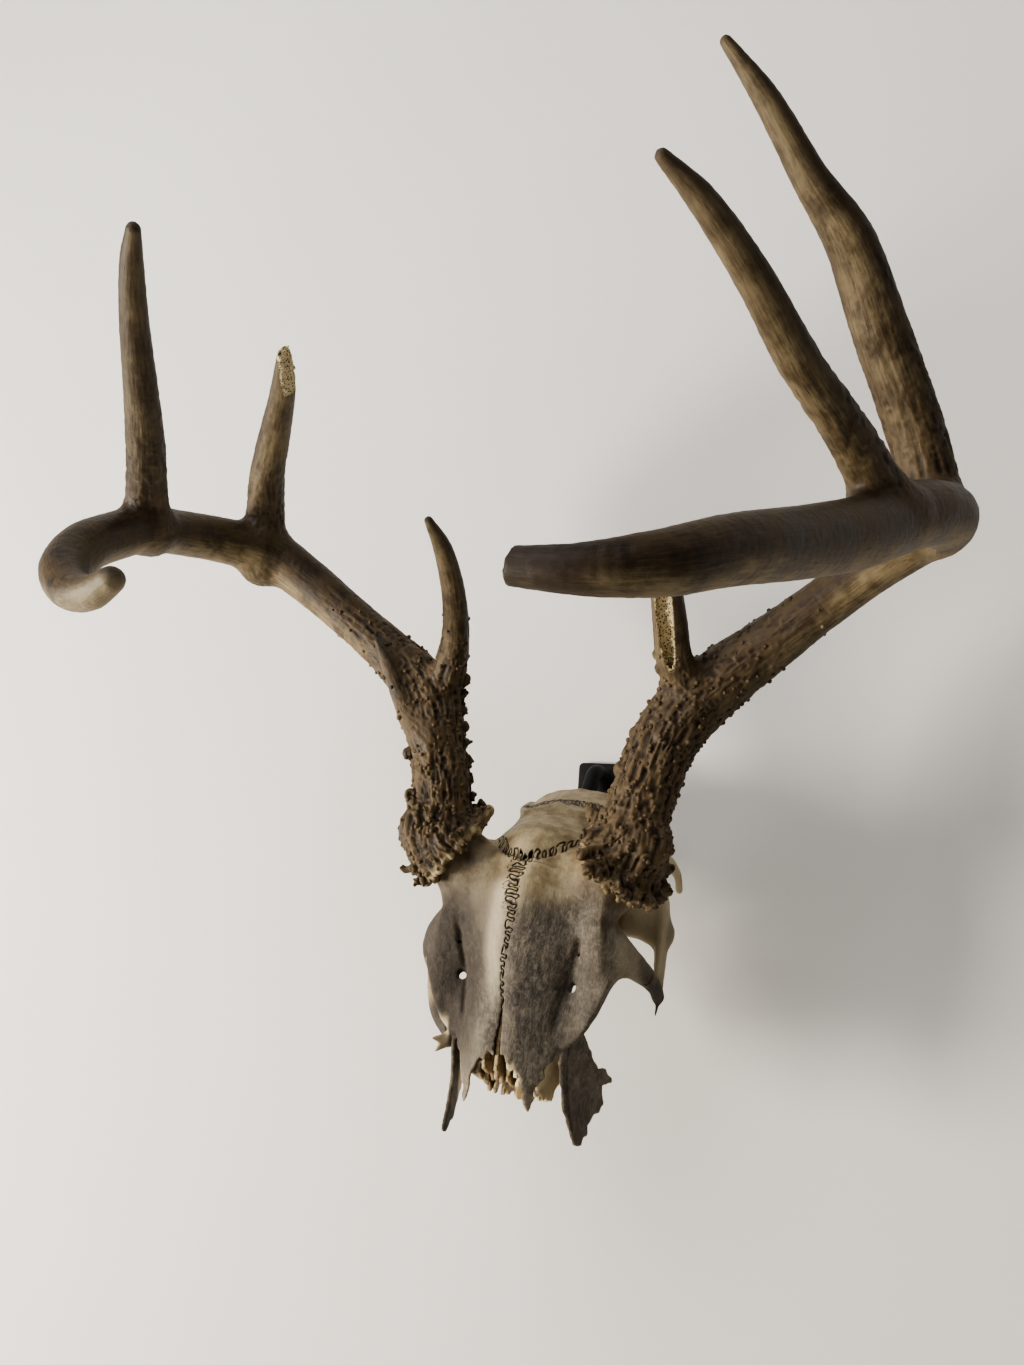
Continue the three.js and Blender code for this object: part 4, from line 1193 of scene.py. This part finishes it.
PLATE_SIZE, PLATE_CORNER, PLATE_DEPTH = (0.038, 0.096), 0.003, 0.004


def plate(shape):
    ring = []
    for quarter, (sx, sz) in enumerate(((1, 1), (-1, 1), (-1, -1), (1, -1))):
        for step in range(7):
            angle = (quarter + step / 6) * math.pi / 2
            ring.append((sx * (PLATE_SIZE[0] / 2 - PLATE_CORNER) + PLATE_CORNER * math.cos(angle),
                         sz * (PLATE_SIZE[1] / 2 - PLATE_CORNER) + PLATE_CORNER * math.sin(angle)))
    face = shape.faces.new([shape.verts.new((x, 0, z)) for x, z in ring])
    grown = bmesh.ops.extrude_face_region(shape, geom=[face])["geom"]
    front = [g for g in grown if isinstance(g, bmesh.types.BMVert)]
    bmesh.ops.translate(shape, vec=(0, -PLATE_DEPTH, 0), verts=front)


def angles(count):
    return [2 * math.pi * k / count for k in range(count)]


def bridge(shape, rings, sides):
    """Faces between each ring of corners and the next. A ring may be a single point."""
    for a, b in zip(rings, rings[1:]):
        for k in range(sides):
            corners = [a[k % len(a)], a[(k + 1) % len(a)], b[(k + 1) % len(b)], b[k % len(b)]]
            corners = [v for i, v in enumerate(corners) if v not in corners[:i]]
            if len(corners) > 2:
                shape.faces.new(corners)


def turned(outline, centre, sides=48):
    """A shape turned round the y axis through centre, from pairs of radius and y."""
    def build(shape):
        bridge(shape, [
            [shape.verts.new((centre[0] + radius * math.cos(a), y, centre[1] + radius * math.sin(a)))
             for a in angles(1 if radius == 0 else sides)]
            for radius, y in outline
        ], sides)
    return build


def swept(path, radius, sides=32):
    """A round rod along a path, closed with rounded ends."""
    line = Line([(*p, radius) for p in path])

    def build(shape):
        spots = [(line.path[0, :3] - line.ahead[0] * radius * 0.3, 0, 0)]
        spots += [(line.path[k, :3], k, radius) for k in range(len(line.path))]
        end = len(line.path) - 1
        for step in range(1, 6):
            angle = step / 5 * math.pi / 2
            spot = line.path[end, :3] + line.ahead[end] * radius * 0.6 * math.sin(angle)
            spots.append((spot, end, radius * math.cos(angle)))
        bridge(shape, [
            [shape.verts.new(centre + size * (line.across[k] * math.cos(a) + line.beside[k] * math.sin(a)))
             for a in angles(1 if size < 1e-9 else sides)]
            for centre, k, size in spots
        ], sides)
    return build


def screw_head(z):
    """A turned pan head with a hexagon socket."""
    rings = [
        (0.004, -SCREW_FOOT), (0.004, -0.0054), (0.0036, -0.0060), (0.0028, -SCREW_TOP), (0.0019, -SCREW_TOP),
    ]

    def build(shape):
        turned(rings[:1] + rings, (0, z))(shape)
        rim = [
            v for v in shape.verts
            if abs(v.co.y + SCREW_TOP) < 1e-6 and math.hypot(v.co.x, v.co.z - z) < 0.002
        ]
        rim.sort(key=lambda v: math.atan2(v.co.z - z, v.co.x))
        deep = []
        for v in rim:
            angle = math.atan2(v.co.z - z, v.co.x)
            flat = 0.00165 / math.cos((angle % (math.pi / 3)) - math.pi / 6)
            x, up = 0.86 * flat * math.cos(angle), z + 0.86 * flat * math.sin(angle)
            deep.append((shape.verts.new((x, -SCREW_TOP, up)), shape.verts.new((x, -0.0050, up))))
        for k in range(len(rim)):
            n = (k + 1) % len(rim)
            shape.faces.new([rim[k], rim[n], deep[n][0], deep[k][0]])
            shape.faces.new([deep[k][0], deep[n][0], deep[n][1], deep[k][1]])
        shape.faces.new([d[1] for d in deep])
        back = [v for v in shape.verts if abs(v.co.y + SCREW_FOOT) < 1e-6]
        back.sort(key=lambda v: math.atan2(v.co.z - z, v.co.x))
        unique = [v for i, v in enumerate(back) if i % 2 == 0]
        shape.faces.new(unique)
    return build


BOSS_HEIGHT = 0.034
MAGNUM = [to_wall([[0, y, -51]])[0] for y in (74, 48)]
hook_path = [(0, -0.0085, BOSS_HEIGHT), (0, -0.0203, BOSS_HEIGHT + 0.006),
             (0, MAGNUM[0][1] + 0.009, MAGNUM[0][2] + 0.011),
             tuple(MAGNUM[0]), tuple(MAGNUM[1])]
boss_outline = [
    (0, -0.0043), (0.0078, -0.0043), (0.009, -0.0055), (0.009, -0.0095), (0.0081, -0.0103), (0, -0.0103),
]
steel = {
    "bracket_plate": mesh_piece("wall_plate", plate, 0.0008),
    "bracket_boss": mesh_piece("boss", turned(boss_outline, (0, BOSS_HEIGHT)), 0.0004),
    "bracket_hook": mesh_piece("bent_rod", swept(hook_path, 0.0047), 0),
    "bracket_screw_upper": mesh_piece("screw_upper", screw_head(0.010), 0),
    "bracket_screw_lower": mesh_piece("screw_lower", screw_head(-0.036), 0),
}
for node, piece in steel.items():
    node_box = [tuple(round(1000 * c, 1) for c in corner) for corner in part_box(node)]
    print(node, [round(1000 * v, 1) for v in piece.dimensions], "CAD", node_box)

# %% [markdown]
# ## Finishes
# Effects that several finishes share are node groups, built once: the fine grain of bone, the
# painted shade mixed with dirt in hollows, the line of a suture and the worn edge, which on the
# broken flake also carries painted light. Each finish then mixes its own colours.

# %% Shader helpers and shared groups
def rgb(red, green, blue):
    """A colour from its everyday 0 to 255 numbers."""
    return tuple(((c / 255 + 0.055) / 1.055)**2.4 if c > 10 else c / 3294 for c in (red, green, blue)) + (1,)


class Wiring:
    """Short names for the shader nodes that are used over and over. Each call returns a socket."""

    def __init__(self, tree):
        self.tree = tree

    def math(self, operation, a, b=0.0, c=0.0, clamp=False):
        given = {0: a, 1: b, 2: c}
        return tree_node(self.tree, "ShaderNodeMath", given, operation=operation, use_clamp=clamp).outputs[0]

    def times(self, *numbers, **more):
        return self.math("MULTIPLY", *numbers, **more)

    def plus(self, *numbers, **more):
        return self.math("ADD", *numbers, **more)

    def minus(self, *numbers, **more):
        return self.math("SUBTRACT", *numbers, **more)

    def mix(self, share, a, b):
        return tree_node(self.tree, "ShaderNodeMix", {0: share, 6: a, 7: b}, data_type="RGBA").outputs[2]

    def spread(self, value, low, high, to_low=0.0, to_high=1.0):
        return tree_node(self.tree, "ShaderNodeMapRange", {0: value, 1: low, 2: high, 3: to_low, 4: to_high},
                         interpolation_type="SMOOTHSTEP").outputs[0]

    def attribute(self, name, output="Fac"):
        return tree_node(self.tree, "ShaderNodeAttribute", attribute_name=name).outputs[output]

    def noise(self, place, scale, detail=3.0, rough=0.55):
        return tree_node(self.tree, "ShaderNodeTexNoise", {
            "Vector": place, "Scale": scale, "Detail": detail, "Roughness": rough}).outputs["Fac"]

    def placed(self, place, turn=(0, 0, 0), scale=(1, 1, 1)):
        given = {"Vector": place, "Rotation": turn, "Scale": scale}
        return tree_node(self.tree, "ShaderNodeMapping", given).outputs[0]

    def object_place(self):
        return tree_node(self.tree, "ShaderNodeTexCoord").outputs["Object"]

    def group(self, tree, **inputs):
        made = self.tree.nodes.new("ShaderNodeGroup")
        made.node_tree = tree
        for key, value in inputs.items():
            socket = made.inputs[key.replace("_", " ")]
            if isinstance(value, bpy.types.NodeSocket):
                self.tree.links.new(value, socket)
            else:
                socket.default_value = value
        return made.outputs


def shared_group(name, inputs, outputs, build):
    tree = bpy.data.node_groups.new(name, "ShaderNodeTree")
    for key, value in inputs.items():
        kind = "NodeSocketColor" if isinstance(value, tuple) else "NodeSocketFloat"
        tree.interface.new_socket(key, in_out="INPUT", socket_type=kind).default_value = value
    for key, kind in outputs.items():
        tree.interface.new_socket(key, in_out="OUTPUT", socket_type=kind)
    given, result = tree.nodes.new("NodeGroupInput").outputs, tree.nodes.new("NodeGroupOutput")
    for key, socket in build(Wiring(tree), given).items():
        tree.links.new(socket, result.inputs[key])
    return tree


def build_grain(w, given):
    place = w.placed(w.object_place(), (-TURN, 0, 0), (1000, 1000, 1000))
    fibre = w.noise(w.placed(place, scale=(1.3, 0.16, 1.3)), given["Fibre"], 4, 0.65)
    mottle = w.noise(place, given["Mottle"], 5, 0.6)
    pore = w.noise(place, 1.7, 2, 0.5)
    return {"Fibre": fibre, "Mottle": mottle, "Pore": w.spread(pore, 0.62, 0.72)}


# Painted shade mixed with dirt: the more closed in a point is, the more its colour goes to the dark colour.
def build_hollow_shade_and_dirt(w, given):
    depth = w.times(w.math("POWER", given["Shut"], 1.6), given["Amount"], clamp=True)
    return {"Colour": w.mix(depth, given["Colour"], given["Dirt"])}


def build_suture(w, given):
    a, s = given["Across"], given["Along"]

    def wave(place, size, times=1.0):
        return w.times(w.math("SINE", w.times(place, times)), size)

    lean = wave(w.math("MULTIPLY_ADD", a, 1.3, wave(s, 0.9, 1 / 2.7)), LEAN)
    phase = w.math("MULTIPLY_ADD", w.plus(s, lean), PITCH, wave(s, 1.0, 1 / 1.9))
    phase = w.plus(phase, wave(s, 0.6, 1.1))
    reach = w.plus(wave(s, 0.6, 1 / 2.3), REACH)
    t = w.math("DIVIDE", a, reach)
    fourth = w.math("POWER", w.math("ABSOLUTE", t), 4.0)
    fold = w.times(t, w.math("MULTIPLY_ADD", fourth, 1 + NECK, -NECK))
    off = w.times(w.math("ABSOLUTE", w.minus(fold, w.math("SINE", phase))), reach)
    rise = w.math("MULTIPLY_ADD", fourth, 5 * (1 + NECK), -NECK)
    slope = w.times(w.math("COSINE", phase), REACH * PITCH)
    steep = w.plus(w.times(slope, slope), w.times(rise, rise))
    gap = w.math("DIVIDE", off, w.math("SQRT", w.plus(steep, 0.3)))
    return {"Line": w.minus(1.0, w.spread(gap, given["Width"], w.times(given["Width"], 2.2)))}


def build_wear_and_light(w, given):
    broken = w.noise(w.placed(w.object_place(), scale=(1000, 1000, 1000)), 0.5, 4, 0.6)
    return {"Mask": w.times(given["Edge"], w.spread(broken, 0.35, 0.6), clamp=True)}


GRAIN = shared_group("bone_grain", {"Fibre": 1.0, "Mottle": 0.12},
                     {"Fibre": "NodeSocketFloat", "Mottle": "NodeSocketFloat", "Pore": "NodeSocketFloat"},
                     build_grain)
# The group that darkens hollows paints shade mixed with dirt.
HOLLOW_SHADE_AND_DIRT = shared_group("shade_and_dirt_in_hollows",
                    {"Colour": (0.5, 0.5, 0.5, 1.0), "Dirt": rgb(52, 42, 30), "Shut": 0.0, "Amount": 1.0},
                    {"Colour": "NodeSocketColor"}, build_hollow_shade_and_dirt)
SUTURE = shared_group("suture_line", {"Across": 30.0, "Along": 0.0, "Width": 0.15},
                      {"Line": "NodeSocketFloat"}, build_suture)
# Edge wear, which on the broken flake also carries painted light.
WEAR_AND_LIGHT = shared_group("worn_and_lit_edge", {"Edge": 0.0}, {"Mask": "NodeSocketFloat"}, build_wear_and_light)
print("four shared groups")


def finish(name, build, roughness=0.6, **fixed):
    """A material from a function that wires colour, roughness and height."""
    material = bpy.data.materials.new(name)
    material.use_nodes = True
    tree = material.node_tree
    shader = tree.nodes["Principled BSDF"]
    shader.inputs["Roughness"].default_value = roughness
    for key, value in fixed.items():
        shader.inputs[key.replace("_", " ")].default_value = value
    made = build(Wiring(tree))
    tree.links.new(made["colour"], shader.inputs["Base Color"])
    if "rough" in made:
        tree.links.new(made["rough"], shader.inputs["Roughness"])
    bump = tree_node(tree, "ShaderNodeBump", {
        "Height": made["height"], "Distance": 0.001, "Strength": made.get("strength", 0.5)})
    tree.links.new(bump.outputs[0], shader.inputs["Normal"])
    return material


# %% [markdown]
# ## Bone
# Old bone is warm cream where it was covered, amber where the antlers' base stained it, and slate
# grey with a fibrous grain where the weather opened its surface. Edges wear pale, hollows take
# painted shade mixed with dirt, and the sutures fill with dirt. Pale painted highlights and darker
# painted shade stand in for the lamp on a few parts.

# %% Bone, teeth and turbinates
def bone_finish(w):
    grain = w.group(GRAIN)
    tone = w.spread(grain["Mottle"], 0.32, 0.68)
    cream = w.mix(tone, rgb(112, 96, 67), rgb(152, 137, 106))
    flecks = w.spread(w.group(GRAIN, Mottle=0.32)["Mottle"], 0.5, 0.66)
    cream = w.mix(w.times(w.spread(grain["Fibre"], 0.45, 0.7), 0.25), cream, rgb(98, 80, 52))
    slate = w.mix(tone, rgb(62, 56, 48), rgb(102, 93, 80))
    slate_low, slate_high = w.mix(0.45, slate, rgb(37, 32, 27)), w.mix(0.25, slate, rgb(134, 123, 104))
    slate = w.mix(w.spread(grain["Fibre"], 0.36, 0.68), slate_low, slate_high)
    slate = w.mix(w.times(flecks, 0.35), slate, rgb(132, 122, 104))
    amber = w.mix(tone, rgb(76, 53, 27), rgb(116, 88, 52))
    colour = w.mix(w.times(w.attribute("stain"), 0.75), cream, amber)
    # Brown-tan near the left brow, partly painted shade.
    tan = w.mix(tone, rgb(78, 60, 37), rgb(112, 94, 66))
    colour = w.mix(w.times(w.attribute("tan"), 0.8), colour, tan)
    ragged = w.plus(w.attribute("grey"), w.times(w.minus(grain["Mottle"], 0.5), 0.7))
    grey = w.times(w.spread(ragged, 0.0, 0.9), w.spread(w.attribute("grey"), 0.0, 0.3))
    colour = w.mix(grey, colour, slate)
    # Painted light: pale cream highlights on the lit ridge, the bar, the temple wall and the flake.
    colour = w.mix(w.times(w.attribute("painted_light"), 0.7), colour, rgb(184, 170, 142))
    # Real edge wear, and painted light on the broken flake.
    worn_and_lit = w.group(WEAR_AND_LIGHT, Edge=w.attribute("worn_and_lit"))["Mask"]
    colour = w.mix(w.times(worn_and_lit, 0.6), colour, rgb(188, 170, 132))
    # Darker patches; on the left face plate, the right of the forehead and the outer edge of the left cheek
    # arch they are painted shade.
    colour = w.mix(w.times(w.attribute("dark"), 0.75), colour, rgb(38, 29, 20))
    enamel = w.mix(w.spread(grain["Fibre"], 0.4, 0.7), rgb(206, 196, 170), rgb(120, 96, 62))
    colour = w.mix(w.attribute("tooth"), colour, enamel)
    colour = w.mix(w.times(grain["Pore"], 0.35), colour, rgb(84, 68, 48))
    # Painted shade and dirt in the hollows.
    colour = w.group(HOLLOW_SHADE_AND_DIRT, Colour=colour, Shut=w.attribute("shut"), Amount=0.85)["Colour"]
    across, along = w.attribute("across"), w.attribute("along")
    line = w.group(SUTURE, Across=across, Along=along, Width=w.spread(along, 290, 300, 0.2, 0.3))["Line"]
    second = w.group(SUTURE, Across=w.math("MULTIPLY_ADD", across, 0.8, 0.7),
                     Along=w.math("MULTIPLY_ADD", along, 1.23, 31.0), Width=0.12)["Line"]
    elsewhere = w.minus(1.0, w.math("COMPARE", along, 215.0, 60.0))
    dense = w.times(w.spread(along, -52, -40), elsewhere)
    line = w.math("MAXIMUM", line, w.times(second, dense))
    colour = w.mix(w.times(line, 0.92), colour, rgb(34, 26, 18))
    fine = w.spread(w.attribute("grey"), 0, 1, 0.35, 1.1)
    fine = w.times(w.minus(grain["Fibre"], 0.5), fine)
    height = w.minus(w.minus(fine, w.times(grain["Pore"], 0.3)), line)
    rough = w.plus(w.times(w.attribute("grey"), 0.22), w.spread(grain["Fibre"], 0.3, 0.7, 0.5, 0.62))
    return {"colour": colour, "height": height, "rough": rough, "strength": 0.45}


def turbinate_finish(w):
    grain = w.group(GRAIN, Fibre=1.6, Mottle=0.25)
    colour = w.mix(w.spread(grain["Mottle"], 0.35, 0.65), rgb(66, 47, 24), rgb(116, 92, 56))
    colour = w.mix(w.times(w.attribute("tan"), 0.85), colour, rgb(216, 200, 160))
    colour = w.mix(w.times(w.spread(grain["Fibre"], 0.42, 0.66), 0.5), colour, rgb(196, 170, 116))
    edge = w.group(WEAR_AND_LIGHT, Edge=w.attribute("worn_and_lit"))["Mask"]
    pale = w.times(edge, w.spread(w.attribute("tan"), 0, 1, 0.2, 0.6))
    colour = w.mix(pale, colour, rgb(216, 200, 160))
    # Painted shade and dirt in the hollows.
    colour = w.group(HOLLOW_SHADE_AND_DIRT, Colour=colour, Shut=w.attribute("shut"), Amount=0.7)["Colour"]
    return {"colour": colour, "height": grain["Fibre"], "strength": 0.35}


bone = finish("bone", bone_finish, Subsurface_Weight=0.06, Subsurface_Scale=0.004, Specular_IOR_Level=0.35)
thin_bone = finish("thin_bone", turbinate_finish, roughness=0.5, Subsurface_Weight=0.18, Subsurface_Scale=0.003)
print("finishes so far:", ", ".join(paint.name for paint in bpy.data.materials))

# %% [markdown]
# ## Antler
# Rubbed on bark, an antler takes up its brown sap in the valleys and loses it on the high ridges.
# The underside of the beam turns ivory, partly worn and partly painted light from below, so the
# upper side stays darkest; the tips go grey, with pale lower sides that are also partly painted light.

# %% Antler finish
def antler_finish(w):
    straight = w.attribute("straight", "Vector")
    fibre = w.noise(w.placed(straight, scale=(1, 1, 0.09)), 0.9, 5, 0.62)
    fibre = w.math("MULTIPLY_ADD", w.minus(fibre, 0.5), w.attribute("pure"), 0.5)
    grain = w.group(GRAIN, Mottle=0.07)
    tone = w.plus(w.times(grain["Mottle"], 0.6), w.times(fibre, 0.4))
    brown = w.mix(w.spread(tone, 0.36, 0.62), rgb(38, 28, 17), rgb(72, 57, 37))
    ivory = w.mix(w.spread(tone, 0.38, 0.62), rgb(76, 62, 40), rgb(136, 121, 91))
    high = w.spread(w.attribute("height"), 0.35, 0.78)
    ridged = w.times(w.times(high, w.spread(w.attribute("rough"), 0.0, 0.5)), 0.5)
    colour = w.mix(ridged, brown, rgb(98, 81, 56))
    valley = w.times(w.minus(1.0, high), w.spread(w.attribute("rough"), 0.0, 0.4))
    colour = w.mix(w.times(valley, 0.85), colour, rgb(36, 26, 16))
    # Ivory underside: partly wear, partly painted light from below.
    low = w.times(w.attribute("under"), w.spread(w.attribute("rough"), 0.1, 0.6, 0.85, 0.2))
    colour = w.mix(low, colour, ivory)
    # Pale lower sides of the tips: partly wear, partly painted light.
    colour = w.mix(w.times(w.attribute("pale"), 0.7), colour, rgb(168, 154, 124))
    colour = w.mix(w.times(w.attribute("tip"), 0.5), colour, rgb(74, 64, 49))
    colour = w.mix(w.times(w.attribute("dark"), 0.8), colour, rgb(30, 20, 11))
    long_grain = w.noise(w.placed(straight, scale=(1.5, 1.5, 0.14)), 0.5, 2, 0.5)
    split = w.times(w.spread(long_grain, 0.70, 0.73), w.attribute("pure"))
    colour = w.mix(w.times(split, 0.7), colour, rgb(40, 31, 22))
    pores = tree_node(w.tree, "ShaderNodeTexVoronoi", {
        "Vector": w.placed(w.object_place(), scale=(1000, 1000, 1000)), "Scale": 0.95})
    pores = w.spread(pores.outputs["Distance"], 0.25, 0.5)
    porous = w.mix(pores, rgb(38, 30, 20), rgb(186, 170, 132))
    colour = w.mix(w.attribute("open"), colour, porous)
    scar = w.times(w.attribute("scar"), w.spread(grain["Mottle"], 0.42, 0.6))
    colour = w.mix(w.times(scar, 0.75), colour, rgb(176, 158, 120))
    # Painted shade and dirt in the hollows.
    colour = w.group(HOLLOW_SHADE_AND_DIRT, Colour=colour, Shut=w.attribute("shut"), Amount=0.8, Dirt=rgb(38, 30, 21))["Colour"]
    height = w.minus(w.plus(w.times(fibre, 0.9), w.times(grain["Fibre"], 0.25)),
                    w.times(split, 0.5))
    rough = w.spread(tone, 0.35, 0.65, 0.46, 0.62)
    return {"colour": colour, "height": height, "rough": rough, "strength": 0.42}


antler_coat = finish("antler", antler_finish, Specular_IOR_Level=0.22)
print("finishes so far:", ", ".join(paint.name for paint in bpy.data.materials))

# %% [markdown]
# ## Blackened steel
# The bracket is plain steel with a matte black coat, with faint patches of dust.

# %% Steel finish, and a finish on every piece
def steel_finish(w):
    place = w.placed(w.object_place(), scale=(1000, 1000, 1000))
    orange_peel, dust = w.noise(place, 1.4, 3, 0.5), w.noise(place, 0.09, 4, 0.6)
    colour = w.mix(w.spread(orange_peel, 0.35, 0.7), rgb(11, 11, 11), rgb(17, 17, 16))
    colour = w.mix(w.times(w.spread(dust, 0.55, 0.8), 0.12), colour, rgb(70, 66, 60))
    rough = w.spread(orange_peel, 0.3, 0.7, 0.6, 0.75)
    return {"colour": colour, "height": orange_peel, "rough": rough, "strength": 0.12}


black_steel = finish("black_steel", steel_finish, Specular_IOR_Level=0.2)
PEARLS_PER_ROOT = pearl_tree(antler_coat)
pearls = {}
for label, count in (("left", 42000), ("right", 46000)):
    host = antlers[f"antler_{label}_root"]
    pearls[label] = plain_mesh(host, PEARLS_PER_ROOT, f"antler_{label}_pearls", {
        "Pearls per square metre": float(count), "Pearl radius": 0.0013, "Seed": 5 + count // 1000})
    print(label, "pearls", len(pearls[label].data.polygons) // 40)

for name, piece in bones.items():
    piece.data.materials.append(thin_bone if name == "turbinates" else bone)
    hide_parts(name)
CROWN_NODES = {
    "left": ["bend", "front", "second_tine", "third_tine"],
    "right": ["bend", "front", "curl", "second_tine", "third_tine"],
}
ROOT_NODES = {"left": ["base", "beam", "brow_tine"], "right": ["base", "beam", "brow_tine", "sticker_tine"]}
for parts, names in (("root", ROOT_NODES), ("crown", CROWN_NODES)):
    for label, nodes in names.items():
        piece = antlers[f"antler_{label}_{parts}"]
        piece.data.materials.append(antler_coat)
        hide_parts(*[f"antler_{label}_{node}" for node in nodes])
for node, piece in steel.items():
    piece.data.materials.append(black_steel)
    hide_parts(node)
pieces = [*bones.values(), *antlers.values(), *pearls.values(), *steel.values()]
for piece in pieces:
    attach(piece, "root")
triangles = sum(len(p.data.loop_triangles) or 2 * len(p.data.polygons) for p in pieces)
print(len(pieces), "pieces,", triangles, "triangles")

# %% [markdown]
# ## Wall, floor and light
# The skull hangs on a pale plaster wall that is clear from behind, so the back of the skull can
# be looked at too. A broad lamp low on the left rakes over the bone, as a picture light does, so
# ridges and seams throw small shadows. A weaker, broader one from above fills them.

# %% Stage
def plaster(w):
    place = w.object_place()
    patches, stipple = w.noise(place, 2.2, 3, 0.5), w.noise(place, 70, 4, 0.6)
    colour = w.mix(patches, rgb(196, 192, 186), rgb(208, 205, 199))
    return {"colour": colour, "height": stipple, "strength": 0.12}


def stage_plane(name, corners, material):
    mesh = bpy.data.meshes.new(name)
    mesh.from_pydata(corners, [], [(0, 1, 2, 3)])
    sheet = bpy.data.objects.new(name, mesh)
    mesh.materials.append(material)
    bpy.context.scene.collection.objects.link(sheet)


floor_paint = finish("floor_paint", plaster, roughness=0.85)
wall_paint = finish("wall_paint", plaster, roughness=0.9)
nodes = wall_paint.node_tree.nodes
clear = tree_node(wall_paint.node_tree, "ShaderNodeMixShader", {
    0: nodes.new("ShaderNodeNewGeometry").outputs["Backfacing"], 1: nodes["Principled BSDF"].outputs[0],
    2: nodes.new("ShaderNodeBsdfTransparent").outputs[0]})
wall_paint.node_tree.links.new(clear.outputs[0], nodes["Material Output"].inputs[0])
WALL, FLOOR = 0.0006, -0.55
wall_corners = [(-2.5, WALL, FLOOR), (2.5, WALL, FLOOR), (2.5, WALL, 3), (-2.5, WALL, 3)]
floor_corners = [(-2.5, -3, FLOOR), (2.5, -3, FLOOR), (2.5, WALL, FLOOR), (-2.5, WALL, FLOOR)]
stage_plane("wall", wall_corners, wall_paint)
stage_plane("floor", floor_corners, floor_paint)


def lamp(name, place, aim, size, power, tint):
    light = bpy.data.lights.new(name, "AREA")
    light.size, light.energy, light.color = size, power, tint
    holder = bpy.data.objects.new(name, light)
    holder.location = place
    holder.rotation_euler = (Vector(aim) - Vector(place)).to_track_quat("-Z", "Y").to_euler()
    bpy.context.scene.collection.objects.link(holder)


MIDDLE = (0.0, -0.12, 0.05)
lamp("key", (-1.3, -1.05, -0.3), MIDDLE, 0.45, 48, (1.0, 0.95, 0.88))
lamp("fill_high", (-0.5, -1.4, 1.1), MIDDLE, 1.2, 24, (0.97, 0.98, 1.0))
world = bpy.data.worlds.new("studio")
world.use_nodes = True
world.node_tree.nodes["Background"].inputs["Color"].default_value = (0.98, 0.98, 1.0, 1)
world.node_tree.nodes["Background"].inputs["Strength"].default_value = 0.24
bpy.context.scene.world = world
bpy.context.scene.view_settings.look = "AgX - Medium High Contrast"
print("wall, floor and", len(bpy.data.lights), "lamps")

# %% [markdown]
# ## Camera
# The camera stands about 0.6 m from the wall, a little to the right, and looks slightly up.

# %% Camera
lens = bpy.data.cameras.new("camera")
lens.sensor_fit, lens.sensor_height, lens.lens = "VERTICAL", 36, 36 * 1000 / 1365
camera = bpy.data.objects.new("camera", lens)
to_right, to_up, ahead = (0.9264, 0.3695, 0.0729), (-0.0039, -0.1840, 0.9828), (-0.3766, 0.9108, 0.1690)
turn = Matrix((to_right, to_up, [-a for a in ahead])).transposed()
camera.matrix_world = Matrix.Translation((0.1828, -0.6145, -0.0132)) @ turn.to_4x4()
bpy.context.scene.collection.objects.link(camera)
bpy.context.scene.camera = camera
print("camera at", [round(v, 3) for v in camera.location], "lens", round(lens.lens, 1), "mm")
